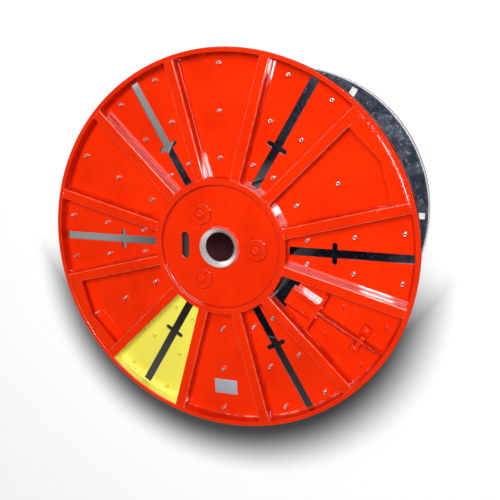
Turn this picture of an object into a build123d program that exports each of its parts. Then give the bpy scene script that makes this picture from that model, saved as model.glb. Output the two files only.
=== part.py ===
from build123d import *
import os
from math import asin, cos, degrees, radians, sin, tan

# Collapsible steel cable reel, in millimetres, standing on its end because it would roll on its rims.
# The axis is Z: the front flange is on top and looks along +Z, and the loose flange is on the floor.
# Angles run anticlockwise from +X as seen from the front. The origin is the middle of the bore.

# Whole reel
FLANGE_RADIUS = 500.0
TRAVERSE = 600.0
SECTOR_COUNT = 12
STRAP_COUNT = 6
SHELL_COUNT = 3

# Flange: depths are counted from its outer face towards the barrel
RIM_WALL = 12.0
RIM_EDGE_ROUND = 2.5
RIB_WIDTH = 28.0
RIB_DEPTH = 30.0
RIB_WALL = 3.0
RIB_CORNER = 4.5
SHEET_THICKNESS = 4.0
LINING_THICKNESS = 3.0
LIP_WIDTH = 13.0
LIP_ROUND = 1.9

# Hub of a flange
HUB_RING_RADIUS = 181.0
HUB_RING_WALL = 16.0
HUB_DISC_DEPTH = 9.0
HUB_DISC_THICKNESS = 8.0
DRIVE_SLOT_RADIUS = 97.0
DRIVE_SLOT_LENGTH = 72.0
DRIVE_SLOT_WIDTH = 22.0
DRIVE_SLOT_ANGLE = 180.0

# Strap slots, from the hub ring out to the rim
STRAP_SLOT_WIDTH = 22.0
NOTCH_RADIUS = 298.0
NOTCH_LENGTH = 56.0
NOTCH_WIDTH = 13.0

# Cover plates at the rim of the front flange
COVER_ANGLES = (30.0, 210.0)
COVER_THICKNESS = 5.0
COVER_MIDDLE_WIDTH = 25.0
COVER_END_WIDTH = 39.0

# Hub tube and spindle bore
BORE_RADIUS = 40.0
HUB_TUBE_RADIUS = 52.5
HUB_TUBE_DEPTH = 2.0
BORE_CHAMFER = 4.0

# Tie shafts, end washers and end screws
SHAFT_CIRCLE_RADIUS = 101.0
SHAFT_RADIUS = 15.0
SPIGOT_RADIUS = 12.0
SPIGOT_SETBACK = 0.5
WASHER_RADIUS = 28.5
WASHER_THICKNESS = 5.0
WASHER_CHAMFER = 1.5
SCREW_HEAD_RADIUS = 8.0
SCREW_HEAD_HEIGHT = 4.0
SCREW_SOCKET_RADIUS = 4.6
SCREW_SOCKET_DEPTH = 2.5
SCREW_HOLE_RADIUS = 5.0
SCREW_HOLE_DEPTH = 30.0
SCREW_TIP_GAP = 5.0

# Barrel shells
BARREL_RADIUS = 190.0
SHELL_THICKNESS = 6.0
SHELL_END_GAP = 1.0
STRAP_CHANNEL_DEPTH = 8.0
PIVOT_TUBE_WALL = 6.0
PIVOT_TUBE_END_GAP = 3.0
STIFFENER_HEIGHT = 34.0
STIFFENER_START_ANGLE = 14.0
STIFFENER_END_ANGLE = 100.0
ARM_THICKNESS = 8.0
ARM_EYE_RADIUS = 30.0
ARM_TIP_RADIUS = 12.0
ARM_TIP_ANGLES = (20.0, 62.0)
ARM_END_DISTANCE = 60.0

# Cable clamp, with the ends of its jaw as shares of the clear length from hub ring to rim
CLAMP_ANGLE = 330.0
CLAMP_INLET_LENGTH = 45.0
JAW_END_SHARES = (0.117, 0.368)
JAW_WIDTH = 48.0
JAW_DEPTH = 6.0
JAW_EDGE_ROUND = 2.5
END_PLATE_RIB_GAP = 8.3
END_PLATE_THICKNESS = 9.0
END_PLATE_DEPTH = 3.0
CLAMP_SCREW_RADIUS = 5.0
CLAMP_SCREW_DEPTH = 12.0
CLAMP_SCREW_RIM_GAP = 6.0
CLAMP_SCREW_FLATS_LENGTH = 16.0
CLAMP_SCREW_FLATS_WIDTH = 7.0
BRACKET_RIM_DISTANCE = 63.0
BRACKET_THICKNESS = 10.0
BRACKET_WIDTH = 34.0
BRACKET_DEPTH = 4.0
BRACKET_FOOT_LENGTH = 76.0
BRACKET_FOOT_WIDTH = 20.0
BRACKET_FOOT_HEIGHT = 9.0
BRACKET_EDGE_ROUND = 2.0

# Shared by all pieces
RUNNING_GAP = 0.3
OVERRUN = 20.0
FULL_TURN = 360.0

# Worked out from the sizes above
FLANGE_DEPTH = RIB_DEPTH + SHEET_THICKNESS + LINING_THICKNESS
HALF_WIDTH = TRAVERSE / 2 + FLANGE_DEPTH
RIM_INNER_RADIUS = FLANGE_RADIUS - RIM_WALL
RIM_DEPTH = RIB_DEPTH + SHEET_THICKNESS
LIP_INNER_RADIUS = FLANGE_RADIUS - LIP_WIDTH
HUB_INNER_RADIUS = HUB_RING_RADIUS - HUB_RING_WALL
HUB_DISC_INNER_DEPTH = HUB_DISC_DEPTH + HUB_DISC_THICKNESS
SECTOR_ANGLE = FULL_TURN / SECTOR_COUNT
SHELL_ANGLE = FULL_TURN / SHELL_COUNT
SHELL_INNER_RADIUS = BARREL_RADIUS - SHELL_THICKNESS
CHANNEL_FLOOR_RADIUS = BARREL_RADIUS - STRAP_CHANNEL_DEPTH
PIVOT_BORE_RADIUS = SHAFT_RADIUS + RUNNING_GAP
PIVOT_TUBE_RADIUS = PIVOT_BORE_RADIUS + PIVOT_TUBE_WALL
COVER_MIDDLE_RADIUS = RIM_INNER_RADIUS - COVER_MIDDLE_WIDTH
COVER_END_RADIUS = RIM_INNER_RADIUS - COVER_END_WIDTH
CLAMP_INLET_END = HUB_RING_RADIUS + CLAMP_INLET_LENGTH
CLEAR_LENGTH = RIM_INNER_RADIUS - HUB_RING_RADIUS
JAW_INNER_END = HUB_RING_RADIUS + JAW_END_SHARES[0] * CLEAR_LENGTH
JAW_OUTER_END = HUB_RING_RADIUS + JAW_END_SHARES[1] * CLEAR_LENGTH
CLAMP_SCREW_TIP = RIM_INNER_RADIUS - CLAMP_SCREW_RIM_GAP
BRACKET_RADIUS = RIM_INNER_RADIUS - BRACKET_RIM_DISTANCE
JAW_FLOOR_DEPTH = RIB_DEPTH - RUNNING_GAP


def polar(radius, angle):
    """Point at this radius and angle, in degrees."""
    return (radius * cos(radians(angle)), radius * sin(radians(angle)))


def turned(shape, angle):
    """The shape turned about the reel's axis."""
    return Rot(0, 0, angle) * shape


def around(shape, count, start=0.0):
    """Copies of the shape at equal angles about the reel's axis."""
    return [turned(shape, start + FULL_TURN * step / count) for step in range(count)]


def annulus(outer, inner):
    """Flat ring between two radii."""
    return Circle(outer) - Circle(inner)


def slab(outline, outer_depth, inner_depth):
    """Plate with this outline between two depths below a flange's outer face."""
    return Pos(0, 0, -inner_depth) * extrude(outline, inner_depth - outer_depth)


def radial_block(inner, outer, width, outer_depth, inner_depth):
    """Block on the +X radius between two radii and two depths."""
    outline = Pos((inner + outer) / 2, 0) * Rectangle(outer - inner, width)
    return slab(outline, outer_depth, inner_depth)


def radial_rod(radius, inner, outer, depth):
    """Round rod along the +X radius at a depth below the flange's outer face."""
    return Pos(inner, 0, -depth) * extrude(Plane.YZ * Circle(radius), outer - inner)


def wedge(start, end):
    """Flat wedge from the axis, wide enough to hold the whole flange between two angles."""
    reach = 2 * FLANGE_RADIUS
    points = [(0, 0), polar(reach, start), polar(reach, (start + end) / 2), polar(reach, end)]
    return make_face(Polyline(*points, close=True))


# Flange pieces, each with the flange's outer face at z = 0 and its barrel side below


def rim():
    """Rolled hoop with its outer edges eased."""
    hoop = slab(annulus(FLANGE_RADIUS, RIM_INNER_RADIUS), 0, RIM_DEPTH)
    return fillet(hoop.edges().group_by(Axis.Z)[-1], RIM_EDGE_ROUND)


def ribs():
    """Rectangular tubes between hub ring and rim, cut to fit both."""
    inner_width = RIB_WIDTH - 2 * RIB_WALL
    inner_depth = RIB_DEPTH - 2 * RIB_WALL
    section = RectangleRounded(RIB_WIDTH, RIB_DEPTH, RIB_CORNER)
    section -= RectangleRounded(inner_width, inner_depth, RIB_CORNER - RIB_WALL)
    tube = extrude(Plane.YZ * section, FLANGE_RADIUS)
    tube = Pos(0, 0, -RIB_DEPTH / 2) * tube
    rib = tube & slab(annulus(RIM_INNER_RADIUS, HUB_RING_RADIUS), 0, RIB_DEPTH)
    return around(rib, SECTOR_COUNT, SECTOR_ANGLE / 2)


def hub_ring():
    """Round band that the ribs meet."""
    band = slab(annulus(HUB_RING_RADIUS, HUB_INNER_RADIUS), 0, RIB_DEPTH)
    return fillet(band.edges().group_by(Axis.Z)[-1], RIM_EDGE_ROUND)


def strap_slots():
    """Outlines of the strap slots with their cross notches."""
    length = FLANGE_RADIUS + OVERRUN
    slot = Pos(length / 2, 0) * Rectangle(length, STRAP_SLOT_WIDTH)
    slot += Pos(NOTCH_RADIUS, 0) * Rot(0, 0, 90) * SlotOverall(NOTCH_LENGTH, NOTCH_WIDTH)
    return around(slot, STRAP_COUNT)


def sector_half_width(radius):
    """Half of the clear width between two ribs at this radius."""
    half_sector = radians(SECTOR_ANGLE / 2)
    return radius * tan(half_sector) - RIB_WIDTH / 2 / cos(half_sector)


def clamp_inlet():
    """Outline of the cable inlet between hub ring and clamp jaw, as wide as its sector."""
    inner = sector_half_width(HUB_RING_RADIUS)
    outer = sector_half_width(CLAMP_INLET_END)
    points = [
        (HUB_RING_RADIUS, -inner),
        (CLAMP_INLET_END, -outer),
        (CLAMP_INLET_END, outer),
        (HUB_RING_RADIUS, inner),
    ]
    opening = make_face(Polyline(*points, close=True)) - Circle(HUB_RING_RADIUS)
    return turned(opening, CLAMP_ANGLE)


def sector_outline(outer, has_clamp):
    """Outline of the sector sheets or linings, one piece from slot to slot."""
    outline = annulus(outer, HUB_INNER_RADIUS) - strap_slots()
    if has_clamp:
        outline -= clamp_inlet()
    return outline


def sector_sheets(has_clamp):
    """Painted sheets under the ribs."""
    return slab(sector_outline(RIM_INNER_RADIUS, has_clamp), RIB_DEPTH, RIM_DEPTH)


def linings(has_clamp):
    """Polished sheets on the barrel side."""
    return slab(sector_outline(LIP_INNER_RADIUS, has_clamp), RIM_DEPTH, FLANGE_DEPTH)


def lip():
    """Bright rounded lip on the rim's barrel side, around the lining."""
    bead = slab(annulus(FLANGE_RADIUS, LIP_INNER_RADIUS), RIM_DEPTH, FLANGE_DEPTH)
    return fillet(bead.edges().group_by(Axis.Z)[0], LIP_ROUND)


def shaft_places(outline):
    """Copies of an outline on the circle of tie shafts."""
    return around(Pos(SHAFT_CIRCLE_RADIUS, 0) * outline, SHELL_COUNT)


def hub_disc(spigot_gap):
    """Disc set back in the hub ring, with holes for the hub tube, the shaft ends and a drive slot."""
    drive_slot = Rot(0, 0, 90) * SlotOverall(DRIVE_SLOT_LENGTH, DRIVE_SLOT_WIDTH)
    drive_slot = turned(Pos(DRIVE_SLOT_RADIUS, 0) * drive_slot, DRIVE_SLOT_ANGLE)
    outline = annulus(HUB_INNER_RADIUS, HUB_TUBE_RADIUS) - drive_slot
    outline -= shaft_places(Circle(SPIGOT_RADIUS + spigot_gap))
    return slab(outline, HUB_DISC_DEPTH, HUB_DISC_INNER_DEPTH)


def hub_plate(shaft_gap):
    """Plate that closes the hub on the barrel side."""
    outline = annulus(HUB_INNER_RADIUS, HUB_TUBE_RADIUS)
    outline -= shaft_places(Circle(SHAFT_RADIUS + shaft_gap))
    return slab(outline, RIB_DEPTH, FLANGE_DEPTH)


def end_washers():
    """Round washers on the hub disc over the shaft ends."""
    outline = Circle(WASHER_RADIUS) - Circle(SCREW_HOLE_RADIUS)
    washer = slab(outline, HUB_DISC_DEPTH - WASHER_THICKNESS, HUB_DISC_DEPTH)
    washer = chamfer(washer.edges().group_by(Axis.Z)[-1].sort_by(SortBy.LENGTH)[-1], WASHER_CHAMFER)
    return shaft_places(washer)


def end_screws():
    """Low-headed socket screws through the washers into the shaft ends."""
    head_bottom = HUB_DISC_DEPTH - WASHER_THICKNESS
    tip = HUB_DISC_DEPTH + SCREW_HOLE_DEPTH - SCREW_TIP_GAP
    screw = slab(Circle(SCREW_HEAD_RADIUS), head_bottom - SCREW_HEAD_HEIGHT, head_bottom)
    screw += slab(Circle(SCREW_HOLE_RADIUS - RUNNING_GAP), head_bottom, tip)
    socket_top = head_bottom - SCREW_HEAD_HEIGHT
    screw -= slab(RegularPolygon(SCREW_SOCKET_RADIUS, 6), socket_top, socket_top + SCREW_SOCKET_DEPTH)
    return shaft_places(screw)


def cover_plates():
    """Plates flush with the ribs that close two sectors at the rim, bent inner edge."""

    def rib_side(radius):
        return SECTOR_ANGLE / 2 - degrees(asin(RIB_WIDTH / 2 / radius))

    far = FLANGE_RADIUS + OVERRUN
    points = [
        polar(COVER_MIDDLE_RADIUS, 0),
        polar(COVER_END_RADIUS, rib_side(COVER_END_RADIUS)),
        polar(far, rib_side(far)),
        polar(far, -rib_side(far)),
        polar(COVER_END_RADIUS, -rib_side(COVER_END_RADIUS)),
    ]
    outline = make_face(Polyline(*points, close=True)) & Circle(RIM_INNER_RADIUS)
    return [turned(slab(outline, 0, COVER_THICKNESS), angle) for angle in COVER_ANGLES]


def bush():
    """Bush of the loose flange, as wide as the flange."""
    ring = slab(annulus(HUB_TUBE_RADIUS, BORE_RADIUS), HUB_TUBE_DEPTH, FLANGE_DEPTH)
    mouth = ring.edges().group_by(Axis.Z)[-1].sort_by(SortBy.LENGTH)[0]
    return chamfer(mouth, BORE_CHAMFER)


# Pieces that span the reel, with the middle of the reel at z = 0


def hub_tube():
    """Tube of the spindle bore, from the front flange to the loose flange."""
    top = HALF_WIDTH - HUB_TUBE_DEPTH
    bottom = -TRAVERSE / 2 + RUNNING_GAP
    tube = Pos(0, 0, bottom) * extrude(annulus(HUB_TUBE_RADIUS, BORE_RADIUS), top - bottom)
    mouth = tube.edges().group_by(Axis.Z)[-1].sort_by(SortBy.LENGTH)[0]
    return chamfer(mouth, BORE_CHAMFER)


def tie_shafts():
    """Shafts from hub disc to hub disc, with a spigot and a threaded hole at each end."""
    body_half = HALF_WIDTH - HUB_DISC_INNER_DEPTH
    spigot_half = HALF_WIDTH - HUB_DISC_DEPTH - SPIGOT_SETBACK
    hole_bottom = HALF_WIDTH - HUB_DISC_DEPTH - SCREW_HOLE_DEPTH
    shaft = extrude(Circle(SHAFT_RADIUS), body_half, both=True)
    shaft += extrude(Circle(SPIGOT_RADIUS), spigot_half, both=True)
    hole = Pos(0, 0, hole_bottom) * extrude(Circle(SCREW_HOLE_RADIUS), SCREW_HOLE_DEPTH + OVERRUN)
    shaft -= hole
    shaft -= Rot(180, 0, 0) * hole
    return shaft_places(shaft)


def strap_channel():
    """Outline of the pressed channel in the middle of a shell."""
    floor_radius = CHANNEL_FLOOR_RADIUS - SHELL_THICKNESS
    width = STRAP_SLOT_WIDTH + 2 * SHELL_THICKNESS
    middle = (floor_radius + SHELL_INNER_RADIUS) / 2
    outline = Pos(middle, 0) * Rectangle(SHELL_INNER_RADIUS - floor_radius, width)
    return turned(outline, SHELL_ANGLE / 2)


def shell_plate():
    """Rolled shell between two strap gaps, with a strap channel pressed along its middle."""
    reach = BARREL_RADIUS + OVERRUN
    gap = Pos(reach / 2, 0) * Rectangle(reach, STRAP_SLOT_WIDTH)
    groove_length = reach - CHANNEL_FLOOR_RADIUS
    groove = Rectangle(groove_length, STRAP_SLOT_WIDTH)
    groove = Pos(CHANNEL_FLOOR_RADIUS + groove_length / 2, 0) * groove
    outline = annulus(BARREL_RADIUS, SHELL_INNER_RADIUS) & wedge(0, SHELL_ANGLE)
    outline = outline - gap - turned(gap, SHELL_ANGLE)
    outline += strap_channel()
    outline -= turned(groove, SHELL_ANGLE / 2)
    return extrude(outline, TRAVERSE / 2 - SHELL_END_GAP, both=True)


def pivot_tube():
    """Tube on the tie shaft that a shell swings on."""
    half_length = TRAVERSE / 2 - PIVOT_TUBE_END_GAP
    tube = extrude(annulus(PIVOT_TUBE_RADIUS, PIVOT_BORE_RADIUS), half_length, both=True)
    return Pos(SHAFT_CIRCLE_RADIUS, 0, 0) * tube


def shell_arms():
    """Three stiffeners with swing arms, from the pivot tube to the inside of the shell."""
    stiffener_radius = SHELL_INNER_RADIUS - STIFFENER_HEIGHT
    stiffener = annulus(SHELL_INNER_RADIUS, stiffener_radius)
    stiffener &= wedge(STIFFENER_START_ANGLE, STIFFENER_END_ANGLE)
    eye = Pos(SHAFT_CIRCLE_RADIUS, 0) * Circle(ARM_EYE_RADIUS)
    rounds = eye.edges()
    for angle in ARM_TIP_ANGLES:
        tip = Pos(*polar(stiffener_radius + STIFFENER_HEIGHT / 2, angle)) * Circle(ARM_TIP_RADIUS)
        rounds = rounds + tip.edges()
    outline = stiffener + make_hull(rounds)
    outline -= strap_channel()
    outline -= Pos(SHAFT_CIRCLE_RADIUS, 0) * Circle(PIVOT_TUBE_RADIUS)
    arm = extrude(outline, ARM_THICKNESS / 2, both=True)
    end_place = TRAVERSE / 2 - ARM_END_DISTANCE
    return [Pos(0, 0, place) * arm for place in (-end_place, 0, end_place)]


# Cable clamp, on the +X radius of the front flange before it is turned to its sector


def clamp_jaw():
    """Sliding jaw with its front edges eased."""
    jaw = radial_block(JAW_INNER_END, JAW_OUTER_END, JAW_WIDTH, JAW_DEPTH, JAW_FLOOR_DEPTH)
    return fillet(jaw.edges().group_by(Axis.Z)[-1], JAW_EDGE_ROUND)


def clamp_end_plate():
    """Plate across the sector on the jaw's outer end, with the screw's bearing hole."""
    outer = JAW_OUTER_END + END_PLATE_THICKNESS
    length = 2 * (sector_half_width(JAW_OUTER_END) - END_PLATE_RIB_GAP)
    plate = radial_block(JAW_OUTER_END, outer, length, END_PLATE_DEPTH, JAW_FLOOR_DEPTH)
    plate -= radial_rod(CLAMP_SCREW_RADIUS + RUNNING_GAP, JAW_OUTER_END, outer, CLAMP_SCREW_DEPTH)
    return plate


def clamp_screw():
    """Screw from the end plate to the rim, with flats for a spanner at its outer end."""
    start = JAW_OUTER_END + RUNNING_GAP
    screw = radial_rod(CLAMP_SCREW_RADIUS, start, CLAMP_SCREW_TIP, CLAMP_SCREW_DEPTH)
    half_flats = CLAMP_SCREW_FLATS_WIDTH / 2
    flats_top = CLAMP_SCREW_DEPTH - half_flats
    flats_bottom = CLAMP_SCREW_DEPTH + half_flats
    square = radial_block(0, CLAMP_SCREW_TIP, CLAMP_SCREW_FLATS_WIDTH, flats_top, flats_bottom)
    flats_start = CLAMP_SCREW_TIP - CLAMP_SCREW_FLATS_LENGTH
    shank = screw & radial_block(0, flats_start, FLANGE_RADIUS, 0, RIB_DEPTH)
    return shank + (screw & square)


def nut_bracket():
    """Upright nut bar on the sheet that the clamp screw runs through, with a foot on each side."""
    inner = BRACKET_RADIUS - BRACKET_THICKNESS / 2
    outer = BRACKET_RADIUS + BRACKET_THICKNESS / 2
    bar = radial_block(inner, outer, BRACKET_WIDTH, BRACKET_DEPTH, RIB_DEPTH)
    bar = fillet(bar.edges().filter_by(Axis.X).group_by(Axis.Z)[-1], BRACKET_EDGE_ROUND)
    foot_inner = BRACKET_RADIUS - BRACKET_FOOT_WIDTH / 2
    foot_outer = BRACKET_RADIUS + BRACKET_FOOT_WIDTH / 2
    foot_top = RIB_DEPTH - BRACKET_FOOT_HEIGHT
    foot = radial_block(foot_inner, foot_outer, BRACKET_FOOT_LENGTH, foot_top, RIB_DEPTH)
    foot = fillet(foot.edges().filter_by(Axis.Z), BRACKET_EDGE_ROUND)
    bracket = bar + foot
    return bracket - radial_rod(CLAMP_SCREW_RADIUS + RUNNING_GAP, inner, outer, CLAMP_SCREW_DEPTH)


# Placing and writing


def on_front(shape):
    """Flange piece in its place on the front."""
    return Pos(0, 0, HALF_WIDTH) * shape


def on_back(shape):
    """Flange piece turned over and in its place on the back."""
    return Pos(0, 0, -HALF_WIDTH) * Rot(180, 0, 0) * shape


def in_clamp(shape):
    """Clamp piece turned to its sector, in its place on the front."""
    return on_front(turned(shape, CLAMP_ANGLE))


def write(name, shapes, place=lambda shape: shape):
    """Write one node: a solid, or like solids that don't touch."""
    solids = []
    for shape in shapes if isinstance(shapes, list) else [shapes]:
        solids.extend(place(shape).solids())
    export_step(solids[0] if len(solids) == 1 else Compound(children=solids), f"parts/{name}.step")


os.makedirs("parts", exist_ok=True)

for side, place in (("front", on_front), ("back", on_back)):
    is_front = side == "front"
    loose_gap = 0.0 if is_front else RUNNING_GAP
    write(f"rim_{side}", rim(), place)
    write(f"ribs_{side}", ribs(), place)
    write(f"hub_ring_{side}", hub_ring(), place)
    write(f"hub_disc_{side}", hub_disc(loose_gap), place)
    write(f"hub_plate_{side}", hub_plate(loose_gap), place)
    write(f"sector_sheets_{side}", sector_sheets(is_front), place)
    write(f"linings_{side}", linings(is_front), place)
    write(f"lining_lip_{side}", lip(), place)
    write(f"end_washers_{side}", end_washers(), place)
    write(f"end_screws_{side}", end_screws(), place)

write("cover_plates", cover_plates(), on_front)
write("bush_back", bush(), on_back)
write("hub_tube", hub_tube())
write("tie_shafts", tie_shafts())

for index in range(SHELL_COUNT):
    angle = index * SHELL_ANGLE
    number = index + 1
    write(f"shell_{number}_plate", turned(shell_plate(), angle))
    write(f"shell_{number}_arms", [turned(arm, angle) for arm in shell_arms()])
    write(f"shell_{number}_pivot_tube", turned(pivot_tube(), angle))

write("clamp_jaw", clamp_jaw(), in_clamp)
write("clamp_end_plate", clamp_end_plate(), in_clamp)
write("clamp_screw", clamp_screw(), in_clamp)
write("clamp_nut_bracket", nut_bracket(), in_clamp)
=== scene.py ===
import logging
import math
from contextlib import contextmanager
from dataclasses import dataclass, field, replace
from enum import Enum
from typing import Callable, ClassVar, Iterator, Optional, Sequence, Union

import bmesh
import bpy
from mathutils import Matrix, Vector


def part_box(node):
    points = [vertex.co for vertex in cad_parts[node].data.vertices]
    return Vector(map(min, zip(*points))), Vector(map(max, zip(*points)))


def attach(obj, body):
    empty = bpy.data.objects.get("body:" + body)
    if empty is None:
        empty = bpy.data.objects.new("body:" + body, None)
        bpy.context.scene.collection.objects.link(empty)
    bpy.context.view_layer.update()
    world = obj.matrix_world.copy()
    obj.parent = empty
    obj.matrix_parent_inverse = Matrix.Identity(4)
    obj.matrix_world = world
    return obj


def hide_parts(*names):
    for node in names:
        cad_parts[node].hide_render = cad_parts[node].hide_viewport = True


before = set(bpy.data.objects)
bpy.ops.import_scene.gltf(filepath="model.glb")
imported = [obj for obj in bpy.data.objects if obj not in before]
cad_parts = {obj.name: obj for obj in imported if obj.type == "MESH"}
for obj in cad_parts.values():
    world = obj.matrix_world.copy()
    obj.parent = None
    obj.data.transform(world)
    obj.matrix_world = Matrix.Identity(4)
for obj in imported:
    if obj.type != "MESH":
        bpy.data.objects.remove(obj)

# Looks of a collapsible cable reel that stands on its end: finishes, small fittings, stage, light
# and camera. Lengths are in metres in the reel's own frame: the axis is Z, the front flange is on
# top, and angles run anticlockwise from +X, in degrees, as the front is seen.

LOG = logging.getLogger("reel")
MM = 0.001
UP = Vector((0.0, 0.0, 1.0))

# Layout of a flange
SECTOR_COUNT = 12
SECTOR = 30.0
HALF_SECTOR = 15.0
CLAMP_ANGLE = 330.0
YELLOW_ANGLE = 240.0
SHAFT_CIRCLE = 101.0 * MM
SHAFT_SECTOR = 120.0
RIM_WALL = 12.0 * MM
HUB_RING_WALL = 16.0 * MM
RIB_WIDTH = 28.0 * MM
COLLAR_RADIUS = 12.0 * MM
FACING_UP = 0.9

Colour = tuple[float, float, float]
Point = tuple[float, float, float]
Spot = tuple[float, float]
Zone = tuple[Spot, float, float]
Piece = bpy.types.Object
Material = bpy.types.Material
Socket = bpy.types.NodeSocket
Value = Union[Socket, float, Colour]


class Slot(Enum):
    """Material slots of the record that added pieces belong to."""

    PAINT = "red_paint"
    MACHINED = "machined_steel"


class Side(Enum):
    """The two flanges and the body that each is part of."""

    FRONT = ("front", "front_flange")
    BACK = ("back", "back_flange")

    @property
    def label(self) -> str:
        """Ending of the names of this flange's nodes."""
        return self.value[0]

    @property
    def body(self) -> str:
        """Body that this flange's pieces ride on."""
        return self.value[1]

    @property
    def turn(self) -> Matrix:
        """Turn that brings a place on the front flange to this one."""
        return Matrix.Identity(4) if self is Side.FRONT else spin(180.0, "X")


@dataclass(frozen=True)
class Reel:
    """Sizes of the reel, read from its pieces."""

    radius: float
    rim_inner: float
    hub_outer: float
    hub_inner: float
    face: float
    sheet: float
    disc: float
    washer: float
    washer_radius: float
    bush_radius: float
    rib_width: float = RIB_WIDTH

    @classmethod
    def measured(cls) -> "Reel":
        """Sizes taken from the boxes of the pieces.

        Returns:
            The reel's sizes in metres.
        """
        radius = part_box("rim_front")[1].x
        hub_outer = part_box("hub_ring_front")[1].x
        return cls(
            radius=radius,
            rim_inner=radius - RIM_WALL,
            hub_outer=hub_outer,
            hub_inner=hub_outer - HUB_RING_WALL,
            face=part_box("rim_front")[1].z,
            sheet=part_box("sector_sheets_front")[1].z,
            disc=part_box("hub_disc_front")[1].z,
            washer=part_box("end_washers_front")[1].z,
            washer_radius=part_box("end_washers_front")[1].x - SHAFT_CIRCLE,
            bush_radius=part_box("hub_tube")[1].x,
        )

    @property
    def rib_half(self) -> float:
        """Half of a rib's width."""
        return self.rib_width / 2


def spin(angle: float, axis: str = "Z") -> Matrix:
    """Turn by an angle in degrees about an axis of the frame."""
    return Matrix.Rotation(math.radians(angle), 4, axis)


def polar(radius: float, angle: float) -> Vector:
    """Point on the plane z = 0 at a distance from the axis and an angle."""
    turn = math.radians(angle)
    return Vector((radius * math.cos(turn), radius * math.sin(turn), 0.0))


def sector_place(angle: float, along: float, across: float, height: float) -> Vector:
    """Point at distances along a radius and across it, to its anticlockwise side."""
    point = Matrix.Rotation(math.radians(angle), 3, "Z") @ Vector((along, across, 0.0))
    return point + UP * height


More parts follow.
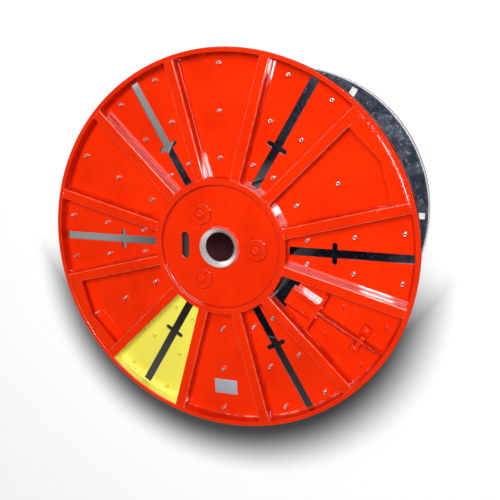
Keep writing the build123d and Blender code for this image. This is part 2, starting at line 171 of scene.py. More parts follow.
class Shop:
    """Modelling moves, made on one object at a time."""

    uneven_share = 0.12
    roughen_seed = 7
    ring_section_sides = 10
    sharp_angle = 40.0

    @staticmethod
    def clear() -> None:
        """Leave nothing selected."""
        bpy.ops.object.select_all(action="DESELECT")

    @classmethod
    def hold(cls, *pieces: Piece) -> None:
        """Select pieces.

        Args:
            pieces: what to select, of which the first becomes active.
        """
        cls.clear()
        for piece in pieces:
            piece.select_set(True)
        bpy.context.view_layer.objects.active = pieces[0]

    @staticmethod
    def renamed(piece: Piece, name: str) -> Piece:
        """Name a piece and its mesh.

        Args:
            piece: piece to name.
            name: its name.

        Returns:
            The piece.
        """
        piece.name = name
        piece.data.name = name
        return piece

    @classmethod
    def started(cls, name: str) -> Piece:
        """Name the primitive that was just added and put its place into its mesh."""
        bpy.ops.object.transform_apply(location=True, rotation=True, scale=True)
        return cls.renamed(bpy.context.active_object, name)

    @classmethod
    def cylinder(cls, name: str, radius: float, height: float, sides: int) -> Piece:
        """Upright cylinder whose foot is at the origin.

        Args:
            name: name of the piece.
            radius: distance of its corners from the axis.
            height: its height.
            sides: number of its sides.

        Returns:
            The piece.
        """
        cls.clear()
        bpy.ops.mesh.primitive_cylinder_add(
            vertices=sides, radius=radius, depth=height, location=(0.0, 0.0, height / 2)
        )
        return cls.started(name)

    @classmethod
    def block(cls, name: str, size: Point) -> Piece:
        """Block whose foot is centred on the origin.

        Args:
            name: name of the piece.
            size: its lengths along X, Y and Z.

        Returns:
            The piece.
        """
        cls.clear()
        bpy.ops.mesh.primitive_cube_add(size=1.0, location=(0.0, 0.0, 0.5))
        piece = cls.started(name)
        piece.data.transform(Matrix.Diagonal((*size, 1.0)))
        return piece

    @classmethod
    def blob(cls, name: str, size: Point, detail: int) -> Piece:
        """Low-sided, uneven drop around the origin.

        Args:
            name: name of the piece.
            size: its half lengths along X, Y and Z.
            detail: level of subdivision.

        Returns:
            The piece.
        """
        cls.clear()
        bpy.ops.mesh.primitive_ico_sphere_add(subdivisions=detail, radius=1.0)
        piece = cls.started(name)
        piece.data.transform(Matrix.Diagonal((*size, 1.0)))
        return cls.roughen(piece, cls.uneven_share * min(size))

    @classmethod
    def ring(cls, name: str, radius: float, thickness: float, steps: int) -> Piece:
        """Round ring about the axis.

        Args:
            name: name of the piece.
            radius: radius of its middle line.
            thickness: radius of its section.
            steps: number of sections.

        Returns:
            The piece.
        """
        cls.clear()
        bpy.ops.mesh.primitive_torus_add(
            major_radius=radius, minor_radius=thickness,
            major_segments=steps, minor_segments=cls.ring_section_sides,
        )
        return cls.started(name)

    @classmethod
    def circle(cls, name: str, radius: float, sides: int) -> Piece:
        """Filled circle on the plane z = 0, from which a bead starts.

        Args:
            name: name of the piece.
            radius: distance of its corners from the axis.
            sides: number of its sides.

        Returns:
            The piece.
        """
        cls.clear()
        bpy.ops.mesh.primitive_circle_add(vertices=sides, radius=radius, fill_type="NGON")
        return cls.started(name)

    @classmethod
    def roughen(cls, piece: Piece, jitter: float) -> Piece:
        """Move every point a little, as on a bead laid by hand.

        Args:
            piece: piece to change.
            jitter: how far a point may move.

        Returns:
            The piece.
        """
        with cls.editing(piece):
            bpy.ops.mesh.select_all(action="SELECT")
            bpy.ops.transform.vertex_random(
                offset=jitter, uniform=0.0, normal=0.0, seed=cls.roughen_seed
            )
        return piece

    @classmethod
    @contextmanager
    def editing(cls, piece: Piece) -> Iterator[None]:
        """Edit mode on a piece, with nothing of it selected.

        Args:
            piece: piece to edit.

        Returns:
            A context that leaves edit mode at its end.
        """
        cls.hold(piece)
        bpy.ops.object.mode_set(mode="EDIT")
        bpy.ops.mesh.select_all(action="DESELECT")
        yield
        bpy.ops.object.mode_set(mode="OBJECT")

    @staticmethod
    def pick_faces(piece: Piece, test: Callable[[bmesh.types.BMFace], bool]) -> None:
        """Select faces, in edit mode.

        Args:
            piece: piece in edit mode.
            test: tells of a face whether it is wanted.
        """
        bpy.ops.mesh.select_mode(type="FACE")
        mesh = bmesh.from_edit_mesh(piece.data)
        for face in mesh.faces:
            face.select_set(bool(test(face)))
        bmesh.update_edit_mesh(piece.data)

    @staticmethod
    def pick_verts(piece: Piece, test: Callable[[Vector], bool]) -> None:
        """Select points, in edit mode.

        Args:
            piece: piece in edit mode.
            test: tells of a place whether its point is wanted.
        """
        bpy.ops.mesh.select_mode(type="VERT")
        mesh = bmesh.from_edit_mesh(piece.data)
        for vert in mesh.verts:
            vert.select_set(bool(test(vert.co)))
        mesh.select_flush(True)
        bmesh.update_edit_mesh(piece.data)

    @classmethod
    def taper(cls, piece: Piece, level: float, share: float) -> None:
        """Draw in what lies above a level.

        Args:
            piece: piece to change.
            level: height above which points move.
            share: width that is left at the top.
        """
        with cls.editing(piece):
            cls.pick_verts(piece, lambda place: place.z > level)
            bpy.ops.transform.resize(value=(share, share, 1.0))

    @classmethod
    def sink(cls, piece: Piece, margin: float, depth: float) -> None:
        """Sink a hole into the top and give it the piece's second material.

        Args:
            piece: piece to change.
            margin: width of the wall that stays round the hole.
            depth: depth of the hole.
        """
        with cls.editing(piece):
            cls.pick_faces(piece, lambda face: face.normal.z > FACING_UP)
            bpy.ops.mesh.inset(thickness=margin)
            cls.push(-depth)
            piece.active_material_index = 1
            bpy.ops.object.material_slot_assign()

    @staticmethod
    def push(distance: float) -> None:
        """Extrude the selected faces along Z, in edit mode."""
        move = {"value": (0.0, 0.0, distance)}
        bpy.ops.mesh.extrude_region_move(TRANSFORM_OT_translate=move)

    @classmethod
    def rounded(cls, piece: Piece, width: float, segments: int = 2) -> Piece:
        """Round the sharp edges with a bevel that is applied.

        Args:
            piece: piece to change.
            width: width of the bevel.
            segments: number of its steps.

        Returns:
            The piece.
        """
        cls.hold(piece)
        bevel = piece.modifiers.new("bevel", "BEVEL")
        bevel.width = width
        bevel.segments = segments
        bevel.limit_method = "ANGLE"
        bevel.angle_limit = math.radians(cls.sharp_angle)
        bpy.ops.object.modifier_apply(modifier=bevel.name)
        return piece

    @classmethod
    def smooth(cls, piece: Piece, angle: float = 35.0) -> Piece:
        """Make the faces look outwards and shade gentle edges smoothly.

        Args:
            piece: piece to change.
            angle: bend in degrees up to which an edge counts as gentle.

        Returns:
            The piece.
        """
        with cls.editing(piece):
            bpy.ops.mesh.select_all(action="SELECT")
            bpy.ops.mesh.normals_make_consistent(inside=False)
        cls.hold(piece)
        bpy.ops.object.shade_smooth_by_angle(angle=math.radians(angle))
        return piece

    @staticmethod
    def coat(piece: Piece, *materials: Material) -> Piece:
        """Give a piece its materials in place of those that it has.

        Args:
            piece: piece to dress.
            materials: what it wears.

        Returns:
            The piece.
        """
        piece.data.materials.clear()
        for material in materials:
            piece.data.materials.append(material)
        return piece

    @classmethod
    def spread(cls, name: str, pattern: Piece, places: Sequence[Matrix]) -> Piece:
        """Copy a pattern to each place and join the copies.

        Args:
            name: name of the joined piece.
            pattern: piece to copy, which is used up.
            places: one transform for each copy.

        Returns:
            The joined piece, at the origin.
        """
        copies = []
        for place in places:
            copy = pattern.copy()
            copy.data = pattern.data.copy()
            copy.data.transform(place)
            bpy.context.scene.collection.objects.link(copy)
            copies.append(copy)
        bpy.data.objects.remove(pattern)
        return cls.joined(name, copies)

    @classmethod
    def joined(cls, name: str, pieces: Sequence[Piece]) -> Piece:
        """Join pieces into one.

        Args:
            name: name of the joined piece.
            pieces: what to join.

        Returns:
            The joined piece.
        """
        cls.hold(*pieces)
        if len(pieces) > 1:
            bpy.ops.object.join()
        return cls.renamed(bpy.context.active_object, name)


def settle(piece: Piece, body: str, slot: Slot) -> Piece:
    """Give a finished piece its body, and log it.

    Args:
        piece: finished piece.
        body: body that it rides on.
        slot: not used.

    Returns:
        The piece.
    """
    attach(piece, body)
    LOG.info("%s: %d faces on %s", piece.name, len(piece.data.polygons), body)
    return piece


class Bench:
    """Builds the node tree of one material."""

    edge_bends = (0.995, 0.80)
    edge_samples = 4
    ring_distortion = 1.5
    ring_detail = 3.0

    def __init__(self, name: str) -> None:
        """Start a material.

        Args:
            name: name of the material.
        """
        self.material = bpy.data.materials.new(name)
        self.material.use_nodes = True
        self.tree = self.material.node_tree
        self.shader = self.tree.nodes["Principled BSDF"]
        self.place = self.add("ShaderNodeTexCoord").outputs["Object"]

    def add(self, kind: str, **settings: object) -> bpy.types.Node:
        """Add a node.

        Args:
            kind: type of the node.
            settings: properties to set on it.

        Returns:
            The node.
        """
        node = self.tree.nodes.new(kind)
        for key, value in settings.items():
            setattr(node, key, value)
        return node

    def plug(self, source: Value, target: Socket) -> None:
        """Link an output to an input, or set the input to a constant.

        Args:
            source: output, number or colour.
            target: input that takes it.
        """
        if isinstance(source, Socket):
            self.tree.links.new(source, target)
        elif isinstance(source, tuple) and len(source) == 3 and target.type == "RGBA":
            target.default_value = (*source, 1.0)
        else:
            target.default_value = source

    def math(self, operation: str, *values: Value, clamp: bool = False) -> Socket:
        """Math node.

        Args:
            operation: what it does.
            values: sockets or numbers that it works on.
            clamp: whether the result is kept between 0 and 1.

        Returns:
            The result.
        """
        node = self.add("ShaderNodeMath", operation=operation, use_clamp=clamp)
        for value, target in zip(values, node.inputs):
            self.plug(value, target)
        return node.outputs[0]

    def minus(self, value: Value, other: Value) -> Socket:
        """Difference of two values."""
        return self.math("SUBTRACT", value, other)

    def off(self, value: Value, place: Value) -> Socket:
        """Distance of a value from a place."""
        return self.math("ABSOLUTE", self.minus(value, place))

    def above(self, value: Value, limit: Value) -> Socket:
        """Mask that is 1 where a value is greater than a limit."""
        return self.math("GREATER_THAN", value, limit)

    def below(self, value: Value, limit: Value) -> Socket:
        """Mask that is 1 where a value is less than a limit."""
        return self.math("LESS_THAN", value, limit)

    def times(self, *values: Value) -> Socket:
        """Product of values, which for masks is 1 only where all of them are.

        Args:
            values: sockets or numbers.

        Returns:
            The product.
        """
        product = values[0]
        for value in values[1:]:
            product = self.math("MULTIPLY", product, value)
        return product

    def hypot(self, first: Value, second: Value) -> Socket:
        """Length of a line that reaches this far in two directions at right angles."""
        squares = self.math("ADD", self.times(first, first), self.times(second, second))
        return self.math("SQRT", squares)

    def span(
        self, value: Value, low: float, high: float, to_low: float = 0.0, to_high: float = 1.0
    ) -> Socket:
        """Map a range of a value smoothly onto another range, clamped.

        Args:
            value: value to map.
            low: where the range starts.
            high: where the range ends.
            to_low: result at the start.
            to_high: result at the end.

        Returns:
            The result.
        """
        node = self.add("ShaderNodeMapRange", interpolation_type="SMOOTHSTEP")
        for target, item in zip(node.inputs, (value, low, high, to_low, to_high)):
            self.plug(item, target)
        return node.outputs[0]

    def mix(self, share: Value, first: Value, second: Value) -> Socket:
        """Mix of two colours.

        Args:
            share: share of the second colour.
            first: colour where the share is 0.
            second: colour where the share is 1.

        Returns:
            The mixed colour.
        """
        node = self.add("ShaderNodeMix", data_type="RGBA")
        for index, item in ((0, share), (6, first), (7, second)):
            self.plug(item, node.inputs[index])
        return node.outputs[2]

    def noise(
        self,
        scale: float,
        detail: float = 4.0,
        roughness: float = 0.55,
        stretch: Optional[Point] = None,
    ) -> Socket:
        """Noise on the object's own coordinates.

        Args:
            scale: how fine it is.
            detail: how many finer layers it has.
            roughness: how strong those are.
            stretch: factors along X, Y and Z.

        Returns:
            Value from 0 to 1.
        """
        place = self.place
        if stretch is not None:
            mapping = self.add("ShaderNodeMapping")
            self.plug(place, mapping.inputs["Vector"])
            self.plug(stretch, mapping.inputs["Scale"])
            place = mapping.outputs[0]
        node = self.add("ShaderNodeTexNoise")
        rows = {"Vector": place, "Scale": scale, "Detail": detail, "Roughness": roughness}
        for key, value in rows.items():
            self.plug(value, node.inputs[key])
        return node.outputs[0]

    def axes(self) -> tuple[Socket, Socket, Socket]:
        """The three coordinates of the place on the object.

        Returns:
            X, Y and Z.
        """
        node = self.add("ShaderNodeSeparateXYZ")
        self.plug(self.place, node.inputs[0])
        return node.outputs[0], node.outputs[1], node.outputs[2]

    def height(self) -> Socket:
        """Place along the reel's axis."""
        return self.axes()[2]

    def end_height(self) -> Socket:
        """Distance from the middle of the reel along its axis, the same at both ends."""
        return self.math("ABSOLUTE", self.height())

    def radius(self, middle: Spot = (0.0, 0.0)) -> Socket:
        """Distance from an upright line, which is the reel's axis unless a middle is given."""
        x, y, _ = self.axes()
        return self.hypot(self.minus(x, middle[0]), self.minus(y, middle[1]))

    def bearing(self) -> Socket:
        """Angle about the reel's axis, in radians from +X."""
        x, y, _ = self.axes()
        return self.math("ARCTAN2", y, x)

    def turned(self, angle: float) -> tuple[Socket, Socket]:
        """Distances along one radius and across it.

        Args:
            angle: direction of the radius.

        Returns:
            Distance along the radius, and across it to the anticlockwise side.
        """
        x, y, _ = self.axes()
        cosine, sine = math.cos(math.radians(angle)), math.sin(math.radians(angle))
        along = self.math("ADD", self.times(x, cosine), self.times(y, sine))
        return along, self.minus(self.times(y, cosine), self.times(x, sine))

    def across_rib(self) -> Socket:
        """Distance from the middle line of the nearest rib.

        Returns:
            The distance.
        """
        half = math.radians(HALF_SECTOR)
        aside = self.minus(half, self.math("PINGPONG", self.bearing(), half))
        return self.times(self.radius(), self.math("SINE", aside))

    def edges(self, width: float) -> Socket:
        """Wear along sharp edges.

        Args:
            width: how far it reaches from an edge.

        Returns:
            Value that rises from 0 to 1 towards the edges.
        """
        bevel = self.add("ShaderNodeBevel", samples=self.edge_samples)
        self.plug(width, bevel.inputs["Radius"])
        plain = self.add("ShaderNodeNewGeometry")
        dot = self.add("ShaderNodeVectorMath", operation="DOT_PRODUCT")
        self.plug(bevel.outputs[0], dot.inputs[0])
        self.plug(plain.outputs["Normal"], dot.inputs[1])
        return self.span(dot.outputs["Value"], *self.edge_bends)

    def rings(self, scale: float) -> Socket:
        """Fine rings about the reel's axis, as a lathe leaves them.

        Args:
            scale: how fine they are.

        Returns:
            Value from 0 to 1.
        """
        node = self.add("ShaderNodeTexWave", wave_type="RINGS", rings_direction="Z")
        rows = {
            "Vector": self.place, "Scale": scale,
            "Distortion": self.ring_distortion, "Detail": self.ring_detail,
        }
        for key, value in rows.items():
            self.plug(value, node.inputs[key])
        return node.outputs["Fac"]

    def bump(
        self, height: Socket, distance: float, strength: float, normal: Optional[Socket] = None
    ) -> Socket:
        """Relief from a height.

        Args:
            height: value from 0 to 1.
            distance: height in metres where the value is 1.
            strength: how much of it shows.
            normal: relief that it lies on.

        Returns:
            The normal.
        """
        node = self.add("ShaderNodeBump")
        rows = {"Strength": strength, "Distance": distance, "Height": height, "Normal": normal}
        for key, value in rows.items():
            if value is not None:
                self.plug(value, node.inputs[key])
        return node.outputs[0]

    def shade(self, **inputs: Value) -> Material:
        """Set or link inputs of the shader.

        Args:
            inputs: values by the inputs' names, with underscores for spaces.

        Returns:
            The finished material.
        """
        for key, value in inputs.items():
            self.plug(value, self.shader.inputs[key.replace("_", " ")])
        return self.material


@dataclass(frozen=True)
class Speckle:
    """Noise that is cut to a mask: weak below its low level and strong above its high one."""

    scale: float
    detail: float
    low: float
    high: float
    weak: float = 0.0
    strong: float = 1.0
    roughness: float = 0.55

    def mask(self, bench: Bench) -> Socket:
        """Value between weak and strong."""
        noise = bench.noise(self.scale, self.detail, self.roughness)
        return bench.span(noise, self.low, self.high, self.weak, self.strong)


@dataclass(frozen=True)
class Relief:
    """Shallow relief made of noise."""

    scale: float
    detail: float
    distance: float
    strength: float

    def normal(self, bench: Bench, under: Optional[Socket] = None) -> Socket:
        """Normal of the relief, laid on another relief if one is given."""
        noise = bench.noise(self.scale, self.detail)
        return bench.bump(noise, self.distance, self.strength, under)


class Mark:
    """Something painted on, or worn into, a part of a surface, painted shade and painted highlights
    among them.
    """

    colour: Colour
    dull: ClassVar[bool] = False

    def mask(self, bench: Bench) -> Socket:
        """Value that is 1 where the mark is and 0 elsewhere."""
        raise NotImplementedError


@dataclass(frozen=True)
class Pocket(Mark):
    """One sector of the front flange that is painted in its own colour between its ribs."""

    colour: Colour
    reel: Reel
    angle: float
    rib_overlap: float = 0.3 * MM
    wall_overlap: float = 0.4 * MM
    face_gap: float = 3.0 * MM
    depth: float = 6.0 * MM

    def mask(self, bench: Bench) -> Socket:
        """Find the pocket.

        Args:
            bench: material that the mask is for.

        Returns:
            Value that is 1 inside the pocket and 0 elsewhere.
        """
        height = bench.height()
        along, across = bench.turned(self.angle)
        half = math.radians(HALF_SECTOR)
        aside = bench.times(bench.math("ABSOLUTE", across), math.cos(half))
        radius = bench.radius()
        return bench.times(
            bench.above(
                bench.minus(bench.times(along, math.sin(half)), aside),
                self.reel.rib_half - self.rib_overlap,
            ),
            bench.above(radius, self.reel.hub_outer - self.wall_overlap),
            bench.below(radius, self.reel.rim_inner + self.wall_overlap),
            bench.below(height, self.reel.face - self.face_gap),
            bench.above(height, self.reel.sheet - self.depth),
        )


@dataclass(frozen=True)
class RibEdgeHighlights(Mark):
    """Painted highlights along the upper edges of the ribs, as thin pale lines."""

    colour: Colour
    reel: Reel
    inset: float = 1.3 * MM
    half_width: float = 1.2 * MM
    depth: float = 3.5 * MM
    patches: Speckle = Speckle(45.0, 4.0, low=0.35, high=0.65, weak=0.1125, strong=0.45)

    def mask(self, bench: Bench) -> Socket:
        """Find the edges.

        Args:
            bench: material that the mask is for.

        Returns:
            Value that is high on the ribs' upper edges and 0 elsewhere.
        """
        radius = bench.radius()
        middle = self.reel.rib_half - self.inset
        return bench.times(
            bench.math("COMPARE", bench.across_rib(), middle, self.half_width),
            bench.above(bench.end_height(), self.reel.face - self.depth),
            bench.above(radius, self.reel.hub_outer),
            bench.below(radius, self.reel.rim_inner),
            self.patches.mask(bench),
        )


@dataclass(frozen=True)
class CornerShade(Mark):
    """Painted shade along the foot of the ribs, the rim and the hub ring, and up their walls."""

    colour: Colour
    reel: Reel
    reach: float = 9.0 * MM
    wall_overlap: float = 0.8 * MM
    depth: float = 2.0 * MM
    face_gap: float = 1.5 * MM
    wall_share: float = 0.7
    patches: Speckle = Speckle(26.0, 5.0, low=0.30, high=0.70, weak=0.30, strong=0.80)

    def mask(self, bench: Bench) -> Socket:
        """Find the corners.

        Args:
            bench: material that the mask is for.

        Returns:
            Value that is high in the corners beside the sheets and 0 elsewhere.
        """
        radius, level = bench.radius(), self.reel.sheet
        gap = bench.minus(bench.across_rib(), self.reel.rib_half)
        gap = bench.math("MINIMUM", gap, bench.minus(radius, self.reel.hub_outer))
        gap = bench.math("MINIMUM", gap, bench.minus(self.reel.rim_inner, radius))
        height = bench.end_height()
        return bench.times(
            bench.span(gap, self.reach, 0.0),
            bench.above(gap, -self.wall_overlap),
            bench.span(height, level + self.reach, level, self.wall_share, 1.0),
            bench.above(height, level - self.depth),
            bench.below(height, self.reel.face - self.face_gap),
            self.patches.mask(bench),
        )


@dataclass(frozen=True)
class ScrapeAndGlint(Mark):
    """Pale marks along an arc on the flange's face, a broken seam with specks beside it: bare
    scratches, and a painted highlight where they stand for glints on a seam.
    """

    colour: Colour
    angle: float
    half_angle: float
    radius: float
    half_width: float
    heights: Spot
    seam_shares: Spot = (0.30, 0.12)
    speck_share: float = 0.4
    fade_share: float = 0.7
    seam: Speckle = Speckle(34.0, 4.0, low=0.44, high=0.60, strong=0.9)
    specks: Speckle = Speckle(420.0, 3.0, low=0.58, high=0.66, roughness=0.6)

    def mask(self, bench: Bench) -> Socket:
        """Find the marks.

        Args:
            bench: material that the mask is for.

        Returns:
            Value that is high on the marks and 0 elsewhere.
        """
        height = bench.height()
        turn = bench.off(bench.bearing(), math.radians(self.angle))
        aside = bench.off(bench.radius(), self.radius)
        near = math.radians(self.half_angle)
        outer, inner = (share * self.half_width for share in self.seam_shares)
        seam = bench.times(bench.span(aside, outer, inner), self.seam.mask(bench))
        spread = bench.span(aside, self.half_width, self.speck_share * self.half_width)
        return bench.times(
            bench.math("MAXIMUM", seam, bench.times(spread, self.specks.mask(bench))),
            bench.span(turn, near, self.fade_share * near),
            bench.above(height, self.heights[0]),
            bench.below(height, self.heights[1]),
        )


@dataclass(frozen=True)
class RollingWear(Mark):
    """Dull, scuffed paint on the rim's outer wall, on which the reel rolls."""

    colour: Colour
    radius: float
    patches: Speckle = Speckle(18.0, 6.0, low=0.30, high=0.60, weak=0.55, roughness=0.7)
    dull: ClassVar[bool] = True

    def mask(self, bench: Bench) -> Socket:
        """Value that is high on the outer wall and 0 elsewhere."""
        return bench.times(bench.above(bench.radius(), self.radius), self.patches.mask(bench))


@dataclass(frozen=True)
class RingShade(Mark):
    """Painted shade in a ring round each end washer or its collar, or round the axis if on no
    circle.
    """

    colour: Colour
    circle: float
    radius: float
    reach: float
    level: float
    strength: float = 0.7

    def mask(self, bench: Bench) -> Socket:
        """Find the rings.

        Args:
            bench: material that the mask is for.

        Returns:
            Value that is high in the rings and 0 elsewhere.
        """
        turn = bench.math("PINGPONG", bench.bearing(), math.radians(SHAFT_SECTOR / 2))
        radius = bench.radius()
        along = bench.minus(bench.times(radius, bench.math("COSINE", turn)), self.circle)
        across = bench.times(radius, bench.math("SINE", turn))
        gap = bench.off(bench.hypot(along, across), self.radius)
        return bench.times(
            bench.span(gap, self.reach, 0.0, 0.0, self.strength),
            bench.math("COMPARE", bench.end_height(), self.level, self.reach),
        )


@dataclass(frozen=True)
class ShadePatches(Mark):
    """Painted shade in straight patches beside one radius: under a screw, in grooves and round
    feet.

    A row gives where a patch starts and ends along the radius and across it, and its height.
    """

    colour: Colour
    angle: float
    rows: tuple[tuple[float, float, float, float, float], ...]
    soft: float = 2.4 * MM
    level_reach: float = 2.0 * MM
    patches: Speckle = Speckle(40.0, 5.0, low=0.30, high=0.65, weak=0.45, strong=0.90)
    dull: ClassVar[bool] = True

    def mask(self, bench: Bench) -> Socket:
        """Find the patches.

        Args:
            bench: material that the mask is for.

        Returns:
            Value that is high in the patches and 0 elsewhere.
        """
        along, across = bench.turned(self.angle)
        height = bench.height()
        whole = 0.0
        for near, far, right, left, level in self.rows:
            patch = bench.math("COMPARE", height, level, self.level_reach)
            for value, low, high in ((along, near, far), (across, right, left)):
                half = (high - low) / 2
                aside = bench.off(value, (low + high) / 2)
                side = bench.span(aside, half + self.soft, half - self.soft / 2)
                patch = bench.times(patch, side)
            whole = bench.math("MAXIMUM", whole, patch)
        return bench.times(whole, self.patches.mask(bench))


@dataclass(frozen=True)
class OuterEdge(Mark):
    """Everything beyond a radius."""

    colour: Colour
    radius: float

    def mask(self, bench: Bench) -> Socket:
        """Value that is 1 beyond the radius and 0 inside it."""
        return bench.above(bench.radius(), self.radius)


@dataclass(frozen=True)
class Deep(Mark):
    """Everything further in than a level, on both ends of the reel."""

    colour: Colour
    level: float
    soft: float = 3.0 * MM

    def mask(self, bench: Bench) -> Socket:
        """Value that is 1 further in than the level and 0 near the ends."""
        return bench.span(bench.end_height(), self.level, self.level - self.soft)


@dataclass(frozen=True)
class Enamel:
    """Gloss enamel on steel with soft waviness and chips along edges."""

    name: str
    colour: Colour
    deep: Colour
    scuff: Colour
    chips: float
    gloss: float = 1.0
    edge_width: float = 1.6 * MM
    coat_index: float = 1.6
    coat_roughness: float = 0.03
    cloud: Speckle = Speckle(7.0, 3.0, low=0.35, high=0.75)
    scratches: Speckle = Speckle(90.0, 5.0, low=0.66, high=0.76, strong=0.25, roughness=0.7)
    chipping: Speckle = Speckle(55.0, 6.0, low=0.52, high=0.66, roughness=0.65)
    dullness: Speckle = Speckle(16.0, 4.0, low=0.3, high=0.8, weak=0.38, strong=0.55)
    waves: Relief = Relief(6.0, 2.0, distance=4.0 * MM, strength=0.05)
    peel: Relief = Relief(420.0, 2.0, distance=0.3 * MM, strength=0.06)

    def material(self, marks: Sequence[Mark] = ()) -> Material:
        """Build the material.

        Args:
            marks: what is painted or worn over the enamel's own colour, painted shade and painted
                highlights among them.

        Returns:
            The material.
        """
        bench = Bench(self.name)
        base = bench.mix(self.cloud.mask(bench), self.colour, self.deep)
        coat = self.gloss
        for mark in marks:
            mask = mark.mask(bench)
            base = bench.mix(mask, base, mark.colour)
            if mark.dull:
                coat = bench.math("SUBTRACT", coat, mask, clamp=True)
        base = bench.mix(self.scratches.mask(bench), base, self.scuff)
        chipped = replace(self.chipping, strong=self.chips).mask(bench)
        worn = bench.times(bench.edges(self.edge_width), chipped)
        base = bench.mix(worn, base, self.scuff)
        return bench.shade(
            Base_Color=base,
            Roughness=bench.math("ADD", self.dullness.mask(bench), worn),
            Normal=self.peel.normal(bench, self.waves.normal(bench)),
            Specular_IOR_Level=0.0,
            Coat_Weight=coat,
            Coat_IOR=self.coat_index,
            Coat_Roughness=self.coat_roughness,
        )


@dataclass(frozen=True)
class BareMetal:
    """Bare metal: polished, turned or rolled, by its roughness and marks."""

    name: str
    colour: Colour
    stain_and_reflection: Colour
    rough: Spot
    blotch: float
    grain: float
    relief: float
    stretch: Point = (1.0, 1.0, 1.0)
    metal: float = 1.0
    spots: float = 0.0
    turning: float = 0.0
    cloud_levels: Spot = (0.38, 0.70)
    grain_levels: Spot = (0.45, 0.80)
    grain_share: float = 0.35
    ring_levels: Spot = (0.3, 0.9)
    ring_share: float = 0.45
    dull_cloud_levels: Spot = (0.3, 0.75)
    dull_grain_levels: Spot = (0.4, 0.8)
    grain_dullness: float = 0.08
    grain_depth: float = 0.5 * MM
    dents: Relief = Relief(6.0, 2.0, distance=6.0 * MM, strength=0.08)
    # Pale spots, used only on the polished lining, are painted reflections.
    spot_colour: Colour = (0.72, 0.75, 0.80)
    spotting: Speckle = Speckle(75.0, 7.0, low=0.57, high=0.66, roughness=0.7)

    def material(self, marks: Sequence[Mark] = ()) -> Material:
        """Build the material.

        Args:
            marks: painted highlights and painted shade laid over the metal's own colour.

        Returns:
            The material.
        """
        bench = Bench(self.name)
        cloud = bench.noise(self.blotch, detail=5.0, roughness=0.6)
        grain = bench.noise(self.grain, detail=3.0, roughness=0.6, stretch=self.stretch)
        base = bench.mix(bench.span(cloud, *self.cloud_levels), self.colour, self.stain_and_reflection)
        grain_tinted = bench.span(grain, *self.grain_levels, to_high=self.grain_share)
        base = bench.mix(grain_tinted, base, self.stain_and_reflection)
        if self.spots:
            spots = replace(self.spotting, strong=self.spots).mask(bench)
            base = bench.mix(spots, base, self.spot_colour)
        if self.turning:
            rings = bench.rings(self.turning)
            ringed = bench.span(rings, *self.ring_levels, to_high=self.ring_share)
            base = bench.mix(ringed, base, self.stain_and_reflection)
        for mark in marks:
            base = bench.mix(mark.mask(bench), base, mark.colour)
        dull = bench.span(cloud, *self.dull_cloud_levels, *self.rough)
        grainy = bench.span(grain, *self.dull_grain_levels, to_high=self.grain_dullness)
        relief = bench.bump(grain, self.grain_depth, self.relief)
        return bench.shade(
            Base_Color=base,
            Roughness=bench.math("ADD", dull, grainy),
            Metallic=self.metal,
            Normal=self.dents.normal(bench, relief),
        )


@dataclass(frozen=True)
class Hollow:
    """Near-black painted shade in the hollow of a hole, with lighter specks of dust."""

    name: str
    colour: Colour
    dust_gain: float = 2.2
    roughness: float = 0.7
    dust: Speckle = Speckle(300.0, 3.0, low=0.4, high=0.7)

    def material(self) -> Material:
        """Build the material.

        Returns:
            The material.
        """
        bench = Bench(self.name)
        light = tuple(self.dust_gain * part for part in self.colour)
        base = bench.mix(self.dust.mask(bench), self.colour, light)
        return bench.shade(Base_Color=base, Roughness=self.roughness)


